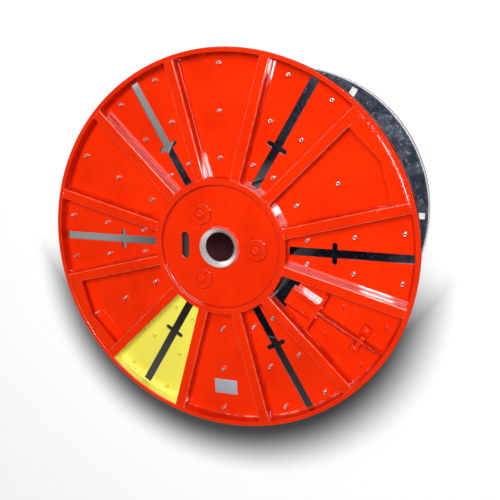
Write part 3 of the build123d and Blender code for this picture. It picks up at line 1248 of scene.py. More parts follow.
@dataclass
class Finishes:
    """All materials of the reel, each made once."""

    reel: Reel
    red: Material = field(init=False)
    red_fitting: Material = field(init=False)
    shaded_red_screw: Material = field(init=False)
    yellow_fitting: Material = field(init=False)
    polished: Material = field(init=False)
    lip: Material = field(init=False)
    turned: Material = field(init=False)
    bush: Material = field(init=False)
    rolled: Material = field(init=False)
    rivet: Material = field(init=False)
    plate: Material = field(init=False)
    hollow: Material = field(init=False)

    def __post_init__(self) -> None:
        """Make the paints and the bare metals."""
        self.mix_paints()
        self.finish_metals()

    def painted_shade(self) -> tuple[Mark, ...]:
        """Painted shade on the red enamel.

        Returns:
            The marks, in the order in which they are laid.
        """
        reel = self.reel
        shade_red = (0.40, 0.008, 0.001)
        washers = RingShade(
            shade_red, SHAFT_CIRCLE, reel.washer_radius + 0.8 * MM, reach=2.2 * MM, level=reel.disc
        )
        collars = replace(
            washers, radius=COLLAR_RADIUS + 0.6 * MM, reach=3.0 * MM, level=reel.washer
        )
        disc = replace(washers, circle=0.0, radius=reel.hub_inner - 1.5 * MM, reach=6.0 * MM)
        sheet, jaw, foot = reel.sheet, reel.face - 6.0 * MM, reel.sheet + 9.0 * MM
        # Painted shade: under the screw, round the bracket's and the end plate's feet, beside the
        # jaw, and as dark lines in two grooves along the jaw.
        rows = (
            (304.0, 482.0, -3.0, 4.0, sheet),
            (413.0, 437.0, -40.0, 40.0, sheet),
            (417.0, 433.0, -19.0, 19.0, foot),
            (300.0, 308.0, -58.0, 58.0, sheet),
            (224.0, 296.0, -36.0, -23.0, sheet),
            (230.0, 296.0, 18.6, 20.6, jaw),
            (236.0, 296.0, 10.0, 12.0, jaw),
        )
        clamp = ShadePatches(
            colour=(0.42, 0.009, 0.001),
            angle=CLAMP_ANGLE,
            rows=tuple((*(MM * edge for edge in edges), level) for *edges, level in rows),
        )
        return CornerShade(shade_red, reel), washers, collars, disc, clamp

    def wear_and_highlights(self) -> tuple[Mark, ...]:
        """Wear of the red enamel, with painted highlights on it.

        Returns:
            The marks, in the order in which they are laid.
        """
        reel = self.reel
        cover_seam = ScrapeAndGlint(
            colour=(1.0, 0.76, 0.70),
            angle=29.0,
            half_angle=15.0,
            radius=reel.rim_inner - 1.0 * MM,
            half_width=6.0 * MM,
            heights=(reel.face - 2.0 * MM, reel.face + 2.0 * MM),
        )
        # Painted highlight: a pale line for the glints on the sealing bead at the foot of the rim,
        # along the bottom.
        rim_seam_glints = ScrapeAndGlint(
            colour=(1.0, 0.42, 0.30),
            angle=-90.0,
            half_angle=58.0,
            radius=reel.rim_inner - 2.5 * MM,
            half_width=5.0 * MM,
            heights=(reel.sheet - 1.0 * MM, reel.sheet + 4.0 * MM),
        )
        rolling = RollingWear((0.34, 0.022, 0.012), reel.radius - 0.8 * MM)
        return RibEdgeHighlights((1.0, 0.30, 0.17), reel), cover_seam, rim_seam_glints, rolling

    def mix_paints(self) -> None:
        """Make the red and yellow enamels."""
        red = Enamel(
            "red_enamel",
            colour=(0.95, 0.0305, 0.0014),
            deep=(0.82, 0.023, 0.0010),
            scuff=(0.90, 0.36, 0.29),
            chips=0.55,
        )
        yellow = Enamel(
            "yellow_enamel_fittings",
            colour=(0.93, 0.84, 0.11),
            deep=(0.88, 0.76, 0.09),
            scuff=(0.80, 0.78, 0.62),
            chips=0.4,
        )
        pocket = Pocket(yellow.colour, self.reel, YELLOW_ANGLE)
        self.red = red.material((*self.painted_shade(), pocket, *self.wear_and_highlights()))
        fitting = replace(red, name="red_enamel_fittings", chips=0.5)
        self.red_fitting = fitting.material()
        # Painted shade: a darker, shaded copy of the red fitting enamel for the screw.
        self.shaded_red_screw = replace(
            fitting,
            name="red_enamel_screw",
            colour=(0.62, 0.017, 0.001),
            deep=(0.50, 0.012, 0.001),
            gloss=0.35,
        ).material()
        self.yellow_fitting = yellow.material()

    def finish_metals(self) -> None:
        """Make the bare metals and the painted shade of the holes."""
        reel = self.reel
        # Painted reflection: the lining's dark bluish colours, paler patches and pale spots stand
        # for dark surroundings mirrored in the polished sheet.
        polished = BareMetal(
            "polished_sheet",
            colour=(0.052, 0.066, 0.108),
            stain_and_reflection=(0.165, 0.185, 0.235),
            rough=(0.08, 0.20),
            blotch=11.0,
            grain=60.0,
            relief=0.03,
            metal=0.55,
            spots=0.6,
        )
        # Painted highlight along the lip's rolled outer edge; the rest of the lip keeps the
        # lining's painted reflection.
        lip_highlight = OuterEdge((0.97, 0.98, 0.99), reel.radius - 4.8 * MM)
        self.polished = polished.material()
        self.lip = replace(polished, name="rolled_lip", metal=0.25).material((lip_highlight,))
        # The warm tint of these steel colours is partly a painted reflection of the red paint round
        # the bush.
        turned = BareMetal(
            "turned_steel",
            colour=(0.92, 0.88, 0.85),
            stain_and_reflection=(0.68, 0.63, 0.60),
            rough=(0.30, 0.44),
            blotch=22.0,
            grain=160.0,
            relief=0.12,
            stretch=(1.0, 1.0, 6.0),
        )
        self.turned = turned.material()
        # Painted shade: the bore is painted darker deeper in.
        bore_shade = Deep((0.26, 0.075, 0.09), reel.disc - 6.0 * MM)
        self.bush = replace(
            turned,
            name="bored_bush",
            colour=(0.93, 0.87, 0.83),
            rough=(0.22, 0.36),
            blotch=9.0,
            metal=0.6,
            turning=70.0,
        ).material((bore_shade,))
        self.rolled = BareMetal(
            "rolled_steel",
            colour=(0.20, 0.20, 0.22),
            stain_and_reflection=(0.09, 0.08, 0.08),
            rough=(0.34, 0.55),
            blotch=8.0,
            grain=45.0,
            relief=0.15,
            stretch=(1.0, 1.0, 0.12),
        ).material()
        self.rivet = BareMetal(
            "rivet_metal",
            colour=(0.86, 0.86, 0.88),
            stain_and_reflection=(0.60, 0.60, 0.62),
            rough=(0.22, 0.38),
            blotch=60.0,
            grain=400.0,
            relief=0.10,
            metal=0.85,
        ).material()
        self.plate = BareMetal(
            "bare_plate",
            colour=(0.52, 0.53, 0.59),
            stain_and_reflection=(0.42, 0.43, 0.48),
            rough=(0.35, 0.50),
            blotch=30.0,
            grain=260.0,
            relief=0.08,
            stretch=(1.0, 9.0, 1.0),
            metal=0.25,
        ).material()
        self.hollow = Hollow("rivet_hollow", (0.010, 0.010, 0.012)).material()

    def dress(self) -> None:
        """Put the materials on the reel's own pieces, red where no bare metal is named."""
        bare = {
            "linings": self.polished,
            "lining_lip": self.lip,
            "bush": self.bush,
            "hub_tube": self.bush,
            "tie_shafts": self.turned,
            "shell": self.rolled,
            # The hub plates wear dark rolled steel, which also stands as painted shade behind the
            # drive slot.
            "hub_plate": self.rolled,
        }
        for name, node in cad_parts.items():
            found = (finish for start, finish in bare.items() if name.startswith(start))
            material = next(found, self.red)
            Shop.coat(node, material)
            LOG.info("%s wears %s", name, material.name)


@dataclass
class Rivets:
    """Tails of the blind rivets that hold the linings to the sector sheets."""

    reel: Reel
    finishes: Finishes
    radius: float = 5.4 * MM
    length: float = 9.0 * MM
    top_share: float = 0.86
    hole: float = 2.6 * MM
    hole_depth: float = 5.5 * MM
    rounding: float = 0.7 * MM
    sides: int = 14
    smooth_angle: float = 50.0
    circle_shares: tuple[float, float, float] = (0.464, 0.698, 0.930)
    side_step: float = 7.5
    spin_step: float = 37.0

    def tail(self, material: Material) -> Piece:
        """One rivet tail that stands on the plane z = 0.

        Args:
            material: finish of the metal.

        Returns:
            The piece.
        """
        piece = Shop.cylinder("rivet_tail", self.radius, self.length, self.sides)
        # The hole wears the hollow material, a near-black painted shade.
        Shop.coat(piece, material, self.finishes.hollow)
        Shop.taper(piece, self.length / 2, self.top_share)
        Shop.sink(piece, self.radius * self.top_share - self.hole, self.hole_depth)
        Shop.rounded(piece, self.rounding)
        return Shop.smooth(piece, self.smooth_angle)

    def places(self, side: Side, wanted: Callable[[float], bool]) -> list[Matrix]:
        """Places of rivets: two rows beside a strap slot or the clamp, and one row elsewhere.

        Args:
            side: flange that they are on.
            wanted: tells of a sector's angle whether its rivets are wanted.

        Returns:
            One transform for each rivet.
        """
        found = []
        for step in range(SECTOR_COUNT):
            angle = SECTOR * step
            if not wanted(angle):
                continue
            clamp = side is Side.FRONT and angle == CLAMP_ANGLE
            slotted = step % 2 == 0
            offsets = (-self.side_step, self.side_step) if slotted or clamp else (0.0,)
            for offset in offsets:
                for share in self.circle_shares[1:] if clamp else self.circle_shares:
                    spot = polar(share * self.reel.radius, angle + offset) + UP * self.reel.sheet
                    turn = spin(self.spin_step * len(found))
                    found.append(side.turn @ Matrix.Translation(spot) @ turn)
        return found

    def build(self) -> None:
        """Make the rivets of both flanges."""
        kit, front = self.finishes, Side.FRONT
        special = (CLAMP_ANGLE, YELLOW_ANGLE)
        rows = (
            ("rivets_front", front, kit.rivet, lambda angle: angle not in special),
            ("rivets_front_yellow", front, kit.yellow_fitting, lambda angle: angle == YELLOW_ANGLE),
            ("rivets_front_red", front, kit.red_fitting, lambda angle: angle == CLAMP_ANGLE),
            ("rivets_back", Side.BACK, kit.rivet, lambda angle: True),
        )
        for name, side, material, wanted in rows:
            piece = Shop.spread(name, self.tail(material), self.places(side, wanted))
            settle(piece, side.body, Slot.MACHINED if material is kit.rivet else Slot.PAINT)


@dataclass
class Welds:
    """Painted weld beads in the corners of the ribs and round the bush."""

    reel: Reel
    finishes: Finishes
    bead: float = 3.2 * MM
    pitch: float = 4.6 * MM
    low_bead: Point = (1.6 * MM, 3.2 * MM, 0.8 * MM)
    ring_bead: Point = (6.5 * MM, 5.0 * MM, 5.0 * MM)
    smooth_angle: float = 60.0
    top_gap: float = 3.5 * MM
    foot_share: float = 0.4
    wobble: float = 0.5 * MM
    wobble_step: float = 12.9898
    swell: float = 0.18
    swell_step: float = 7.31
    seam_sink: float = 0.4 * MM
    ring_gap: float = 2.5 * MM
    ring_swell: float = 0.12
    ring_swell_step: float = 5.7
    bush_arc: Spot = (-75.0, 112.0)

    def pattern(self, size: Point, detail: int = 1) -> Piece:
        """One bead of a weld."""
        blob = Shop.blob("weld_bead", size, detail)
        return Shop.smooth(Shop.coat(blob, self.finishes.red), self.smooth_angle)

    def rib_ends(self) -> Iterator[tuple[float, float]]:
        """Angle of each rib with the radii at which it meets hub ring and rim.

        Returns:
            Pairs of angle and radius.
        """
        for step in range(SECTOR_COUNT):
            for radius in (self.reel.hub_outer, self.reel.rim_inner):
                yield HALF_SECTOR + SECTOR * step, radius

    def corners(self, side: Side) -> list[Matrix]:
        """Places of beads up the corners where the ribs meet rim and hub ring.

        Args:
            side: flange that they are on.

        Returns:
            One transform for each bead.
        """
        half, foot = self.reel.rib_half, self.reel.sheet
        count = int((self.reel.face - self.top_gap - foot) / self.pitch)
        found = []
        for step in range(SECTOR_COUNT):
            angle = HALF_SECTOR + SECTOR * step
            for across in (-half, half):
                for radius in (self.reel.hub_outer, self.reel.rim_inner):
                    along = math.sqrt(radius**2 - half**2)
                    for index in range(count):
                        stray = self.wobble * math.sin(self.wobble_step * (len(found) + 1))
                        rise = foot + (index + self.foot_share) * self.pitch
                        spot = sector_place(angle, along + stray, across - stray, rise)
                        size = 1.0 + self.swell * math.sin(self.swell_step * len(found))
                        place = Matrix.Translation(spot) @ Matrix.Scale(size, 4)
                        found.append(side.turn @ place)
        return found

    def seams(self) -> list[Matrix]:
        """Places of low beads across the rib ends on the front face.

        Returns:
            One transform for each bead.
        """
        width, level = self.reel.rib_width, self.reel.face - self.seam_sink
        found = []
        for angle, radius in self.rib_ends():
            for index in range(int(width / self.pitch)):
                across = (index + 0.5) * self.pitch - width / 2
                along = math.sqrt(radius**2 - across**2)
                found.append(Matrix.Translation(sector_place(angle, along, across, level)))
        return found

    def bush_ring(self) -> list[Matrix]:
        """Places of beads round a part of the bush on the hub disc.

        Returns:
            One transform for each bead.
        """
        radius = self.reel.bush_radius + self.ring_gap
        start, end = self.bush_arc
        count = int(math.radians(end - start) * radius / self.pitch)
        found = []
        for index in range(count + 1):
            angle = start + (end - start) * index / count
            spot = polar(radius, angle) + UP * self.reel.disc
            size = 1.0 + self.ring_swell * math.sin(self.ring_swell_step * index)
            found.append(Matrix.Translation(spot) @ Matrix.Scale(size, 4))
        return found

    def build(self) -> None:
        """Make the beads of both flanges."""
        round_bead = (self.bead, self.bead, self.bead)
        for side in Side:
            name = f"corner_welds_{side.label}"
            piece = Shop.spread(name, self.pattern(round_bead), self.corners(side))
            settle(piece, side.body, Slot.PAINT)
        seams = Shop.spread("rib_end_seams", self.pattern(self.low_bead), self.seams())
        settle(seams, Side.FRONT.body, Slot.PAINT)
        ring = Shop.spread("bush_weld", self.pattern(self.ring_bead, 2), self.bush_ring())
        settle(ring, Side.FRONT.body, Slot.PAINT)


@dataclass
class Seams:
    """Painted sealing beads along the foot of the ribs, the hub ring and the rim."""

    reel: Reel
    finishes: Finishes
    bead: float = 3.0 * MM
    sides: int = 8
    step: float = 9.0 * MM
    jitter: float = 0.5 * MM
    lift: float = 0.2 * MM
    slot_half: float = 11.0 * MM
    jaw_end: float = 308.0 * MM
    rim_gap: float = 1.0 * MM
    disc_gap: float = 0.3 * MM
    disc_steps: int = 140
    disc_jitter_share: float = 0.6
    smooth_angle: float = 60.0

    def bar(self, length: float) -> Piece:
        """Straight bead along +X from the origin.

        Args:
            length: length of the bead.

        Returns:
            The bead.
        """
        piece = Shop.circle("seam_bar", self.bead, self.sides)
        piece.data.transform(spin(90.0, "Y"))
        count = int(length / self.step)
        with Shop.editing(piece):
            bpy.ops.mesh.select_all(action="SELECT")
            bpy.ops.mesh.extrude_repeat(steps=count, offset=(length / count, 0.0, 0.0))
        return Shop.roughen(piece, self.jitter)

    def arc(self, radius: float, start: float, end: float) -> Piece:
        """Bead round the axis on the plane z = 0.

        Args:
            radius: radius of the bead's middle line.
            start: angle where it starts.
            end: angle where it ends.

        Returns:
            The bead.
        """
        piece = Shop.circle("seam_arc", self.bead, self.sides)
        upright = Matrix.Translation((radius, 0.0, 0.0)) @ spin(90.0, "X")
        piece.data.transform(spin(start) @ upright)
        turn = math.radians(end - start)
        count = max(2, int(radius * turn / self.step))
        with Shop.editing(piece):
            bpy.ops.mesh.select_all(action="SELECT")
            bpy.ops.mesh.spin(steps=count, angle=turn, center=(0.0, 0.0, 0.0), axis=UP)
        return Shop.roughen(piece, self.jitter)

    def ring_arcs(self, side: Side, radius: float, keep: Callable[[float], bool]) -> list[Piece]:
        """Beads along one round wall, from rib to rib or from rib to slot.

        Args:
            side: flange that they are on.
            radius: radius of the wall's foot.
            keep: tells of a sector's angle whether it has a bead from rib to rib.

        Returns:
            The beads, in two pieces.
        """
        rib = HALF_SECTOR - math.degrees(math.asin(self.reel.rib_half / radius))
        slot = math.degrees(math.asin(self.slot_half / radius))
        foot = side.turn @ Matrix.Translation(UP * (self.reel.sheet + self.lift))
        whole, half = [], []
        for step in range(SECTOR_COUNT):
            angle = SECTOR * step
            if step % 2 == 0:
                half += [foot @ spin(turn) for turn in (angle, angle - rib - slot)]
            elif keep(angle):
                whole.append(foot @ spin(angle))
        return [
            Shop.spread("whole_arcs", self.arc(radius, -rib, rib), whole),
            Shop.spread("half_arcs", self.arc(radius, slot, rib), half),
        ]

    def rib_bars(self, side: Side) -> list[Piece]:
        """Beads along both sides of the ribs, shorter where the clamp's jaw slides.

        Args:
            side: flange that they are on.

        Returns:
            The beads, in one piece for each length.
        """
        level = self.reel.sheet + self.lift
        starts = {False: self.reel.hub_outer, True: self.jaw_end}
        places = {False: [], True: []}
        for step in range(SECTOR_COUNT):
            angle = HALF_SECTOR + SECTOR * step
            for sign in (-1.0, 1.0):
                sector = angle + HALF_SECTOR * sign
                beside_jaw = side is Side.FRONT and sector == CLAMP_ANGLE
                spot = sector_place(angle, starts[beside_jaw], sign * self.reel.rib_half, level)
                places[beside_jaw].append(side.turn @ Matrix.Translation(spot) @ spin(angle))
        end = self.reel.rim_inner - self.rim_gap
        return [
            Shop.spread("rib_bars", self.bar(end - starts[beside_jaw]), spots)
            for beside_jaw, spots in places.items()
            if spots
        ]

    def disc_ring(self, side: Side) -> Piece:
        """Bead round the hub disc at the foot of the hub ring.

        Args:
            side: flange that it is on.

        Returns:
            The bead.
        """
        radius = self.reel.hub_inner - self.disc_gap
        ring = Shop.ring("disc_ring", radius, self.bead, self.disc_steps)
        Shop.roughen(ring, self.disc_jitter_share * self.jitter)
        ring.data.transform(side.turn @ Matrix.Translation(UP * self.reel.disc))
        return ring

    def build(self) -> None:
        """Make the beads of both flanges."""
        for side in Side:
            clamped = side is Side.FRONT
            beads = self.rib_bars(side) + [self.disc_ring(side)]
            beads += self.ring_arcs(side, self.reel.rim_inner, lambda angle: True)
            beads += self.ring_arcs(
                side, self.reel.hub_outer, lambda angle: not (clamped and angle == CLAMP_ANGLE)
            )
            piece = Shop.joined(f"foot_seams_{side.label}", beads)
            Shop.coat(piece, self.finishes.red)
            settle(Shop.smooth(piece, self.smooth_angle), side.body, Slot.PAINT)


@dataclass
class Bush:
    """Hub tube with a wide coned mouth, in which a machine's pintle seats."""

    reel: Reel
    finishes: Finishes
    bore: float = 40.0 * MM
    land: float = 1.0 * MM
    sides: int = 96

    def build(self) -> None:
        """Make the tube, in place of the one with a narrow chamfer."""
        low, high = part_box("hub_tube")
        height = high.z - low.z
        cone = self.reel.bush_radius - self.land - self.bore
        piece = Shop.cylinder("hub_tube_coned", self.reel.bush_radius, height, self.sides)
        with Shop.editing(piece):
            Shop.pick_faces(piece, lambda face: face.normal.z > FACING_UP)
            bpy.ops.mesh.inset(thickness=self.land)
            bpy.ops.mesh.inset(thickness=cone, depth=-cone)
            Shop.push(cone - height)
            Shop.pick_faces(piece, lambda face: len(face.verts) == self.sides)
            bpy.ops.mesh.delete(type="FACE")
            bpy.ops.mesh.select_mode(type="EDGE")
            bpy.ops.mesh.select_non_manifold()
            bpy.ops.mesh.bridge_edge_loops()
        piece.data.transform(Matrix.Translation(UP * low.z))
        Shop.coat(piece, self.finishes.bush)
        settle(Shop.smooth(piece), Side.FRONT.body, Slot.MACHINED)
        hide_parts("hub_tube")


@dataclass
class Bosses:
    """Collars round the front end screws and the small pins beside them.

    An angle of pin_angles is where the first of a washer's two pins is; the washers stand a third
    of a turn apart.
    """

    reel: Reel
    finishes: Finishes
    collar_height: float = 1.8 * MM
    collar_sides: int = 28
    collar_top_share: float = 0.9
    collar_rounding: float = 0.4 * MM
    pin_circle: float = 24.3 * MM
    pin_radius: float = 2.0 * MM
    pin_height: float = 0.5 * MM
    pin_sides: int = 12
    pin_wall: float = 0.3 * MM
    pin_hole_share: float = 0.6
    pin_smooth_angle: float = 50.0
    pin_angles: tuple[float, float, float] = (-5.0, 118.0, 50.0)

    def collar(self) -> Piece:
        """Low tapered collar on the plane z = 0.

        Returns:
            The piece.
        """
        piece = Shop.cylinder("collar", COLLAR_RADIUS, self.collar_height, self.collar_sides)
        Shop.taper(piece, self.collar_height / 2, self.collar_top_share)
        Shop.rounded(piece, self.collar_rounding)
        return Shop.smooth(Shop.coat(piece, self.finishes.red_fitting))

    def pin(self) -> Piece:
        """Small pin whose sunk middle is painted dark as shade.

        Returns:
            The piece.
        """
        piece = Shop.cylinder("pin", self.pin_radius, self.pin_height, self.pin_sides)
        Shop.coat(piece, self.finishes.red_fitting, self.finishes.hollow)
        Shop.sink(piece, self.pin_wall, self.pin_hole_share * self.pin_height)
        return Shop.smooth(piece, self.pin_smooth_angle)

    def build(self) -> None:
        """Make the collars and pins."""
        collars, pins = [], []
        for step, angle in enumerate(self.pin_angles):
            spot = polar(SHAFT_CIRCLE, SHAFT_SECTOR * step) + UP * self.reel.washer
            collars.append(Matrix.Translation(spot))
            for turn in (0.0, 180.0):
                pins.append(Matrix.Translation(spot + polar(self.pin_circle, angle + turn)))
        parts = [
            Shop.spread("collars", self.collar(), collars),
            Shop.spread("pins", self.pin(), pins),
        ]
        settle(Shop.joined("end_washer_fittings", parts), Side.FRONT.body, Slot.PAINT)


@dataclass
class TypePlate:
    """Bare thin plate on the sheet of the lowest sector, with four small pins."""

    reel: Reel
    finishes: Finishes
    size: Point = (66 * MM, 42 * MM, 1.0 * MM)
    middle: Spot = (6 * MM, -402 * MM)
    tilt: float = 2.0
    rounding: float = 0.3 * MM
    pin_radius: float = 2.0 * MM
    pin_height: float = 0.9 * MM
    pin_sides: int = 12
    pin_rounding: float = 0.5 * MM
    inset: float = 4.5 * MM

    def build(self) -> None:
        """Make the plate and its pins."""
        length, width, thickness = self.size
        plate = Shop.block("type_plate", self.size)
        Shop.rounded(plate, self.rounding)
        head = Shop.cylinder("pin", self.pin_radius, self.pin_height, self.pin_sides)
        Shop.rounded(head, self.pin_rounding)
        along, across = length / 2 - self.inset, width / 2 - self.inset
        places = [
            Matrix.Translation((x, y, thickness))
            for x in (-along, along)
            for y in (-across, across)
        ]
        pins = Shop.spread("pins", head, places)
        Shop.coat(plate, self.finishes.plate)
        Shop.coat(pins, self.finishes.rivet)
        whole = Shop.smooth(Shop.joined("type_plate", [plate, pins]))
        spot = Vector((*self.middle, self.reel.sheet))
        whole.data.transform(Matrix.Translation(spot) @ spin(self.tilt))
        settle(whole, Side.FRONT.body, Slot.MACHINED)


@dataclass
class Clamp:
    """Fasteners and thread of the cable clamp."""

    reel: Reel
    finishes: Finishes
    bolt_radius: float = 6.0 * MM
    bolt_height: float = 5.0 * MM
    bolt_sides: int = 6
    bolt_rounding: float = 0.7 * MM
    washer_share: float = 1.35
    washer_height: float = 1.2 * MM
    washer_sides: int = 20
    washer_rounding: float = 0.3 * MM
    plate_outer: float = 302.9 * MM
    plate_across: float = 15.6 * MM
    plate_depth: float = 20.0 * MM
    foot_along: float = 425.0 * MM
    foot_across: float = 28.0 * MM
    foot_depth: float = 21.0 * MM
    pin_radius: float = 3.6 * MM
    pin_height: float = 2.4 * MM
    pin_sides: int = 14
    pin_rounding: float = 1.0 * MM
    jaw_depth: float = 6.0 * MM
    jaw_pins: tuple[Spot, ...] = ((231 * MM, -17.5 * MM), (270 * MM, -20.5 * MM))
    thread_radius: float = 5.0 * MM
    thread_core: float = 4.7 * MM
    thread_pitch: float = 3.0 * MM
    thread_steps: int = 16
    thread_merge: float = 0.01 * MM
    thread_depth: float = 12.0 * MM
    thread_start: float = 294.4 * MM
    thread_end: float = 465.0 * MM
    thread_smooth_angle: float = 25.0
    core_sides: int = 20
    core_overlap: float = 1.0 * MM
    tip: float = 482.0 * MM
    flats: float = 7.0 * MM
    flats_rounding: float = 0.8 * MM

    @property
    def outward(self) -> Matrix:
        """Turn that lays what stands upright along the clamp's radius."""
        return spin(CLAMP_ANGLE) @ spin(90.0, "Y")

    @property
    def thread_length(self) -> float:
        """Length of the threaded part of the screw."""
        return self.thread_end - self.thread_start

    def place(self, along: float, across: float, depth: float) -> Matrix:
        """Move to a spot of the clamp's sector at a depth below the flange's face."""
        return Matrix.Translation(sector_place(CLAMP_ANGLE, along, across, self.reel.face - depth))

    def hex_bolt(self) -> Piece:
        """Hexagon head on a washer.

        Returns:
            The piece.
        """
        radius = self.washer_share * self.bolt_radius
        washer = Shop.cylinder("bolt_washer", radius, self.washer_height, self.washer_sides)
        head = Shop.cylinder("bolt_head", self.bolt_radius, self.bolt_height, self.bolt_sides)
        head.data.transform(Matrix.Translation(UP * self.washer_height))
        Shop.rounded(head, self.bolt_rounding)
        Shop.rounded(washer, self.washer_rounding, segments=1)
        whole = Shop.joined("bolt", [washer, head])
        return Shop.smooth(Shop.coat(whole, self.finishes.red_fitting))

    def bolts(self) -> None:
        """Bolts on the end plate and on the feet of the nut bracket."""
        on_plate = [
            self.place(self.plate_outer, across, self.plate_depth) @ self.outward
            for across in (-self.plate_across, self.plate_across)
        ]
        settle(Shop.spread("end_plate_bolts", self.hex_bolt(), on_plate), "clamp_jaw", Slot.PAINT)
        on_feet = [
            self.place(self.foot_along, across, self.foot_depth)
            for across in (-self.foot_across, self.foot_across)
        ]
        settle(Shop.spread("bracket_bolts", self.hex_bolt(), on_feet), Side.FRONT.body, Slot.PAINT)

    def pins(self) -> None:
        """Round heads on the jaw."""
        head = Shop.cylinder("jaw_pin", self.pin_radius, self.pin_height, self.pin_sides)
        Shop.rounded(head, self.pin_rounding, segments=3)
        Shop.smooth(Shop.coat(head, self.finishes.red_fitting))
        places = [self.place(*spot, self.jaw_depth) for spot in self.jaw_pins]
        settle(Shop.spread("jaw_pins", head, places), "clamp_jaw", Slot.PAINT)

    def thread(self) -> Piece:
        """Closed winding of the thread along +Z from the origin.

        Returns:
            The piece.
        """
        Shop.clear()
        bpy.ops.mesh.primitive_plane_add(size=1.0)
        thread = bpy.context.active_object
        with Shop.editing(thread):
            Shop.pick_verts(thread, lambda place: place.x > 0 and place.y > 0)
            bpy.ops.mesh.delete(type="VERT")
        outs = (self.thread_core, self.thread_radius, self.thread_core)
        for step, (vert, out) in enumerate(zip(self.chain(thread), outs)):
            vert.co = (out, 0.0, step * self.thread_pitch / 2)
        Shop.hold(thread)
        winding = thread.modifiers.new("winding", "SCREW")
        winding.axis = "Z"
        winding.angle = 2 * math.pi
        winding.screw_offset = self.thread_pitch
        winding.iterations = int(self.thread_length / self.thread_pitch) - 1
        winding.steps = winding.render_steps = self.thread_steps
        winding.use_merge_vertices = True
        winding.merge_threshold = self.thread_merge
        bpy.ops.object.modifier_apply(modifier=winding.name)
        with Shop.editing(thread):
            bpy.ops.mesh.select_mode(type="EDGE")
            bpy.ops.mesh.select_non_manifold()
            bpy.ops.mesh.edge_face_add()
        return thread

    @staticmethod
    def chain(piece: Piece) -> list[bpy.types.MeshVertex]:
        """Points of a line with three points, in order along it.

        Args:
            piece: the line.

        Returns:
            Its points.
        """
        mesh = piece.data
        ends = [index for edge in mesh.edges for index in edge.vertices]
        middle = next(vert.index for vert in mesh.vertices if ends.count(vert.index) == 2)
        first, last = (vert.index for vert in mesh.vertices if vert.index != middle)
        return [mesh.vertices[index] for index in (first, middle, last)]

    def screw(self) -> None:
        """Threaded screw with a square end, in place of the plain rod."""
        thread, length = self.thread(), self.thread_length
        core = Shop.cylinder("core", self.thread_core, length + self.core_overlap, self.core_sides)
        square = Shop.block("square", (self.flats, self.flats, self.tip - self.thread_end))
        Shop.rounded(square, self.flats_rounding)
        square.data.transform(Matrix.Translation(UP * length))
        whole = Shop.joined("clamp_screw_thread", [thread, core, square])
        Shop.smooth(Shop.coat(whole, self.finishes.shaded_red_screw), self.thread_smooth_angle)
        place = self.place(self.thread_start, 0.0, self.thread_depth)
        whole.data.transform(place @ self.outward)
        settle(whole, "clamp_screw", Slot.PAINT)
        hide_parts("clamp_screw")

    def build(self) -> None:
        """Make all fittings of the clamp."""
        self.bolts()
        self.pins()
        self.screw()


@dataclass(frozen=True)
class Lamp:
    """Square soft light that looks at the middle of the reel."""

    name: str
    place: Point
    size: float
    power: float

    def hang(self) -> None:
        """Put the lamp into the scene."""
        data = bpy.data.lights.new(self.name, "AREA")
        data.size = self.size
        data.energy = self.power
        lamp = bpy.data.objects.new(self.name, data)
        lamp.visible_camera = False
        bpy.context.scene.collection.objects.link(lamp)
        away = Vector(self.place)
        aim = away.to_track_quat("Z", "Y").to_matrix().to_4x4()
        lamp.matrix_world = Matrix.Translation(away) @ aim


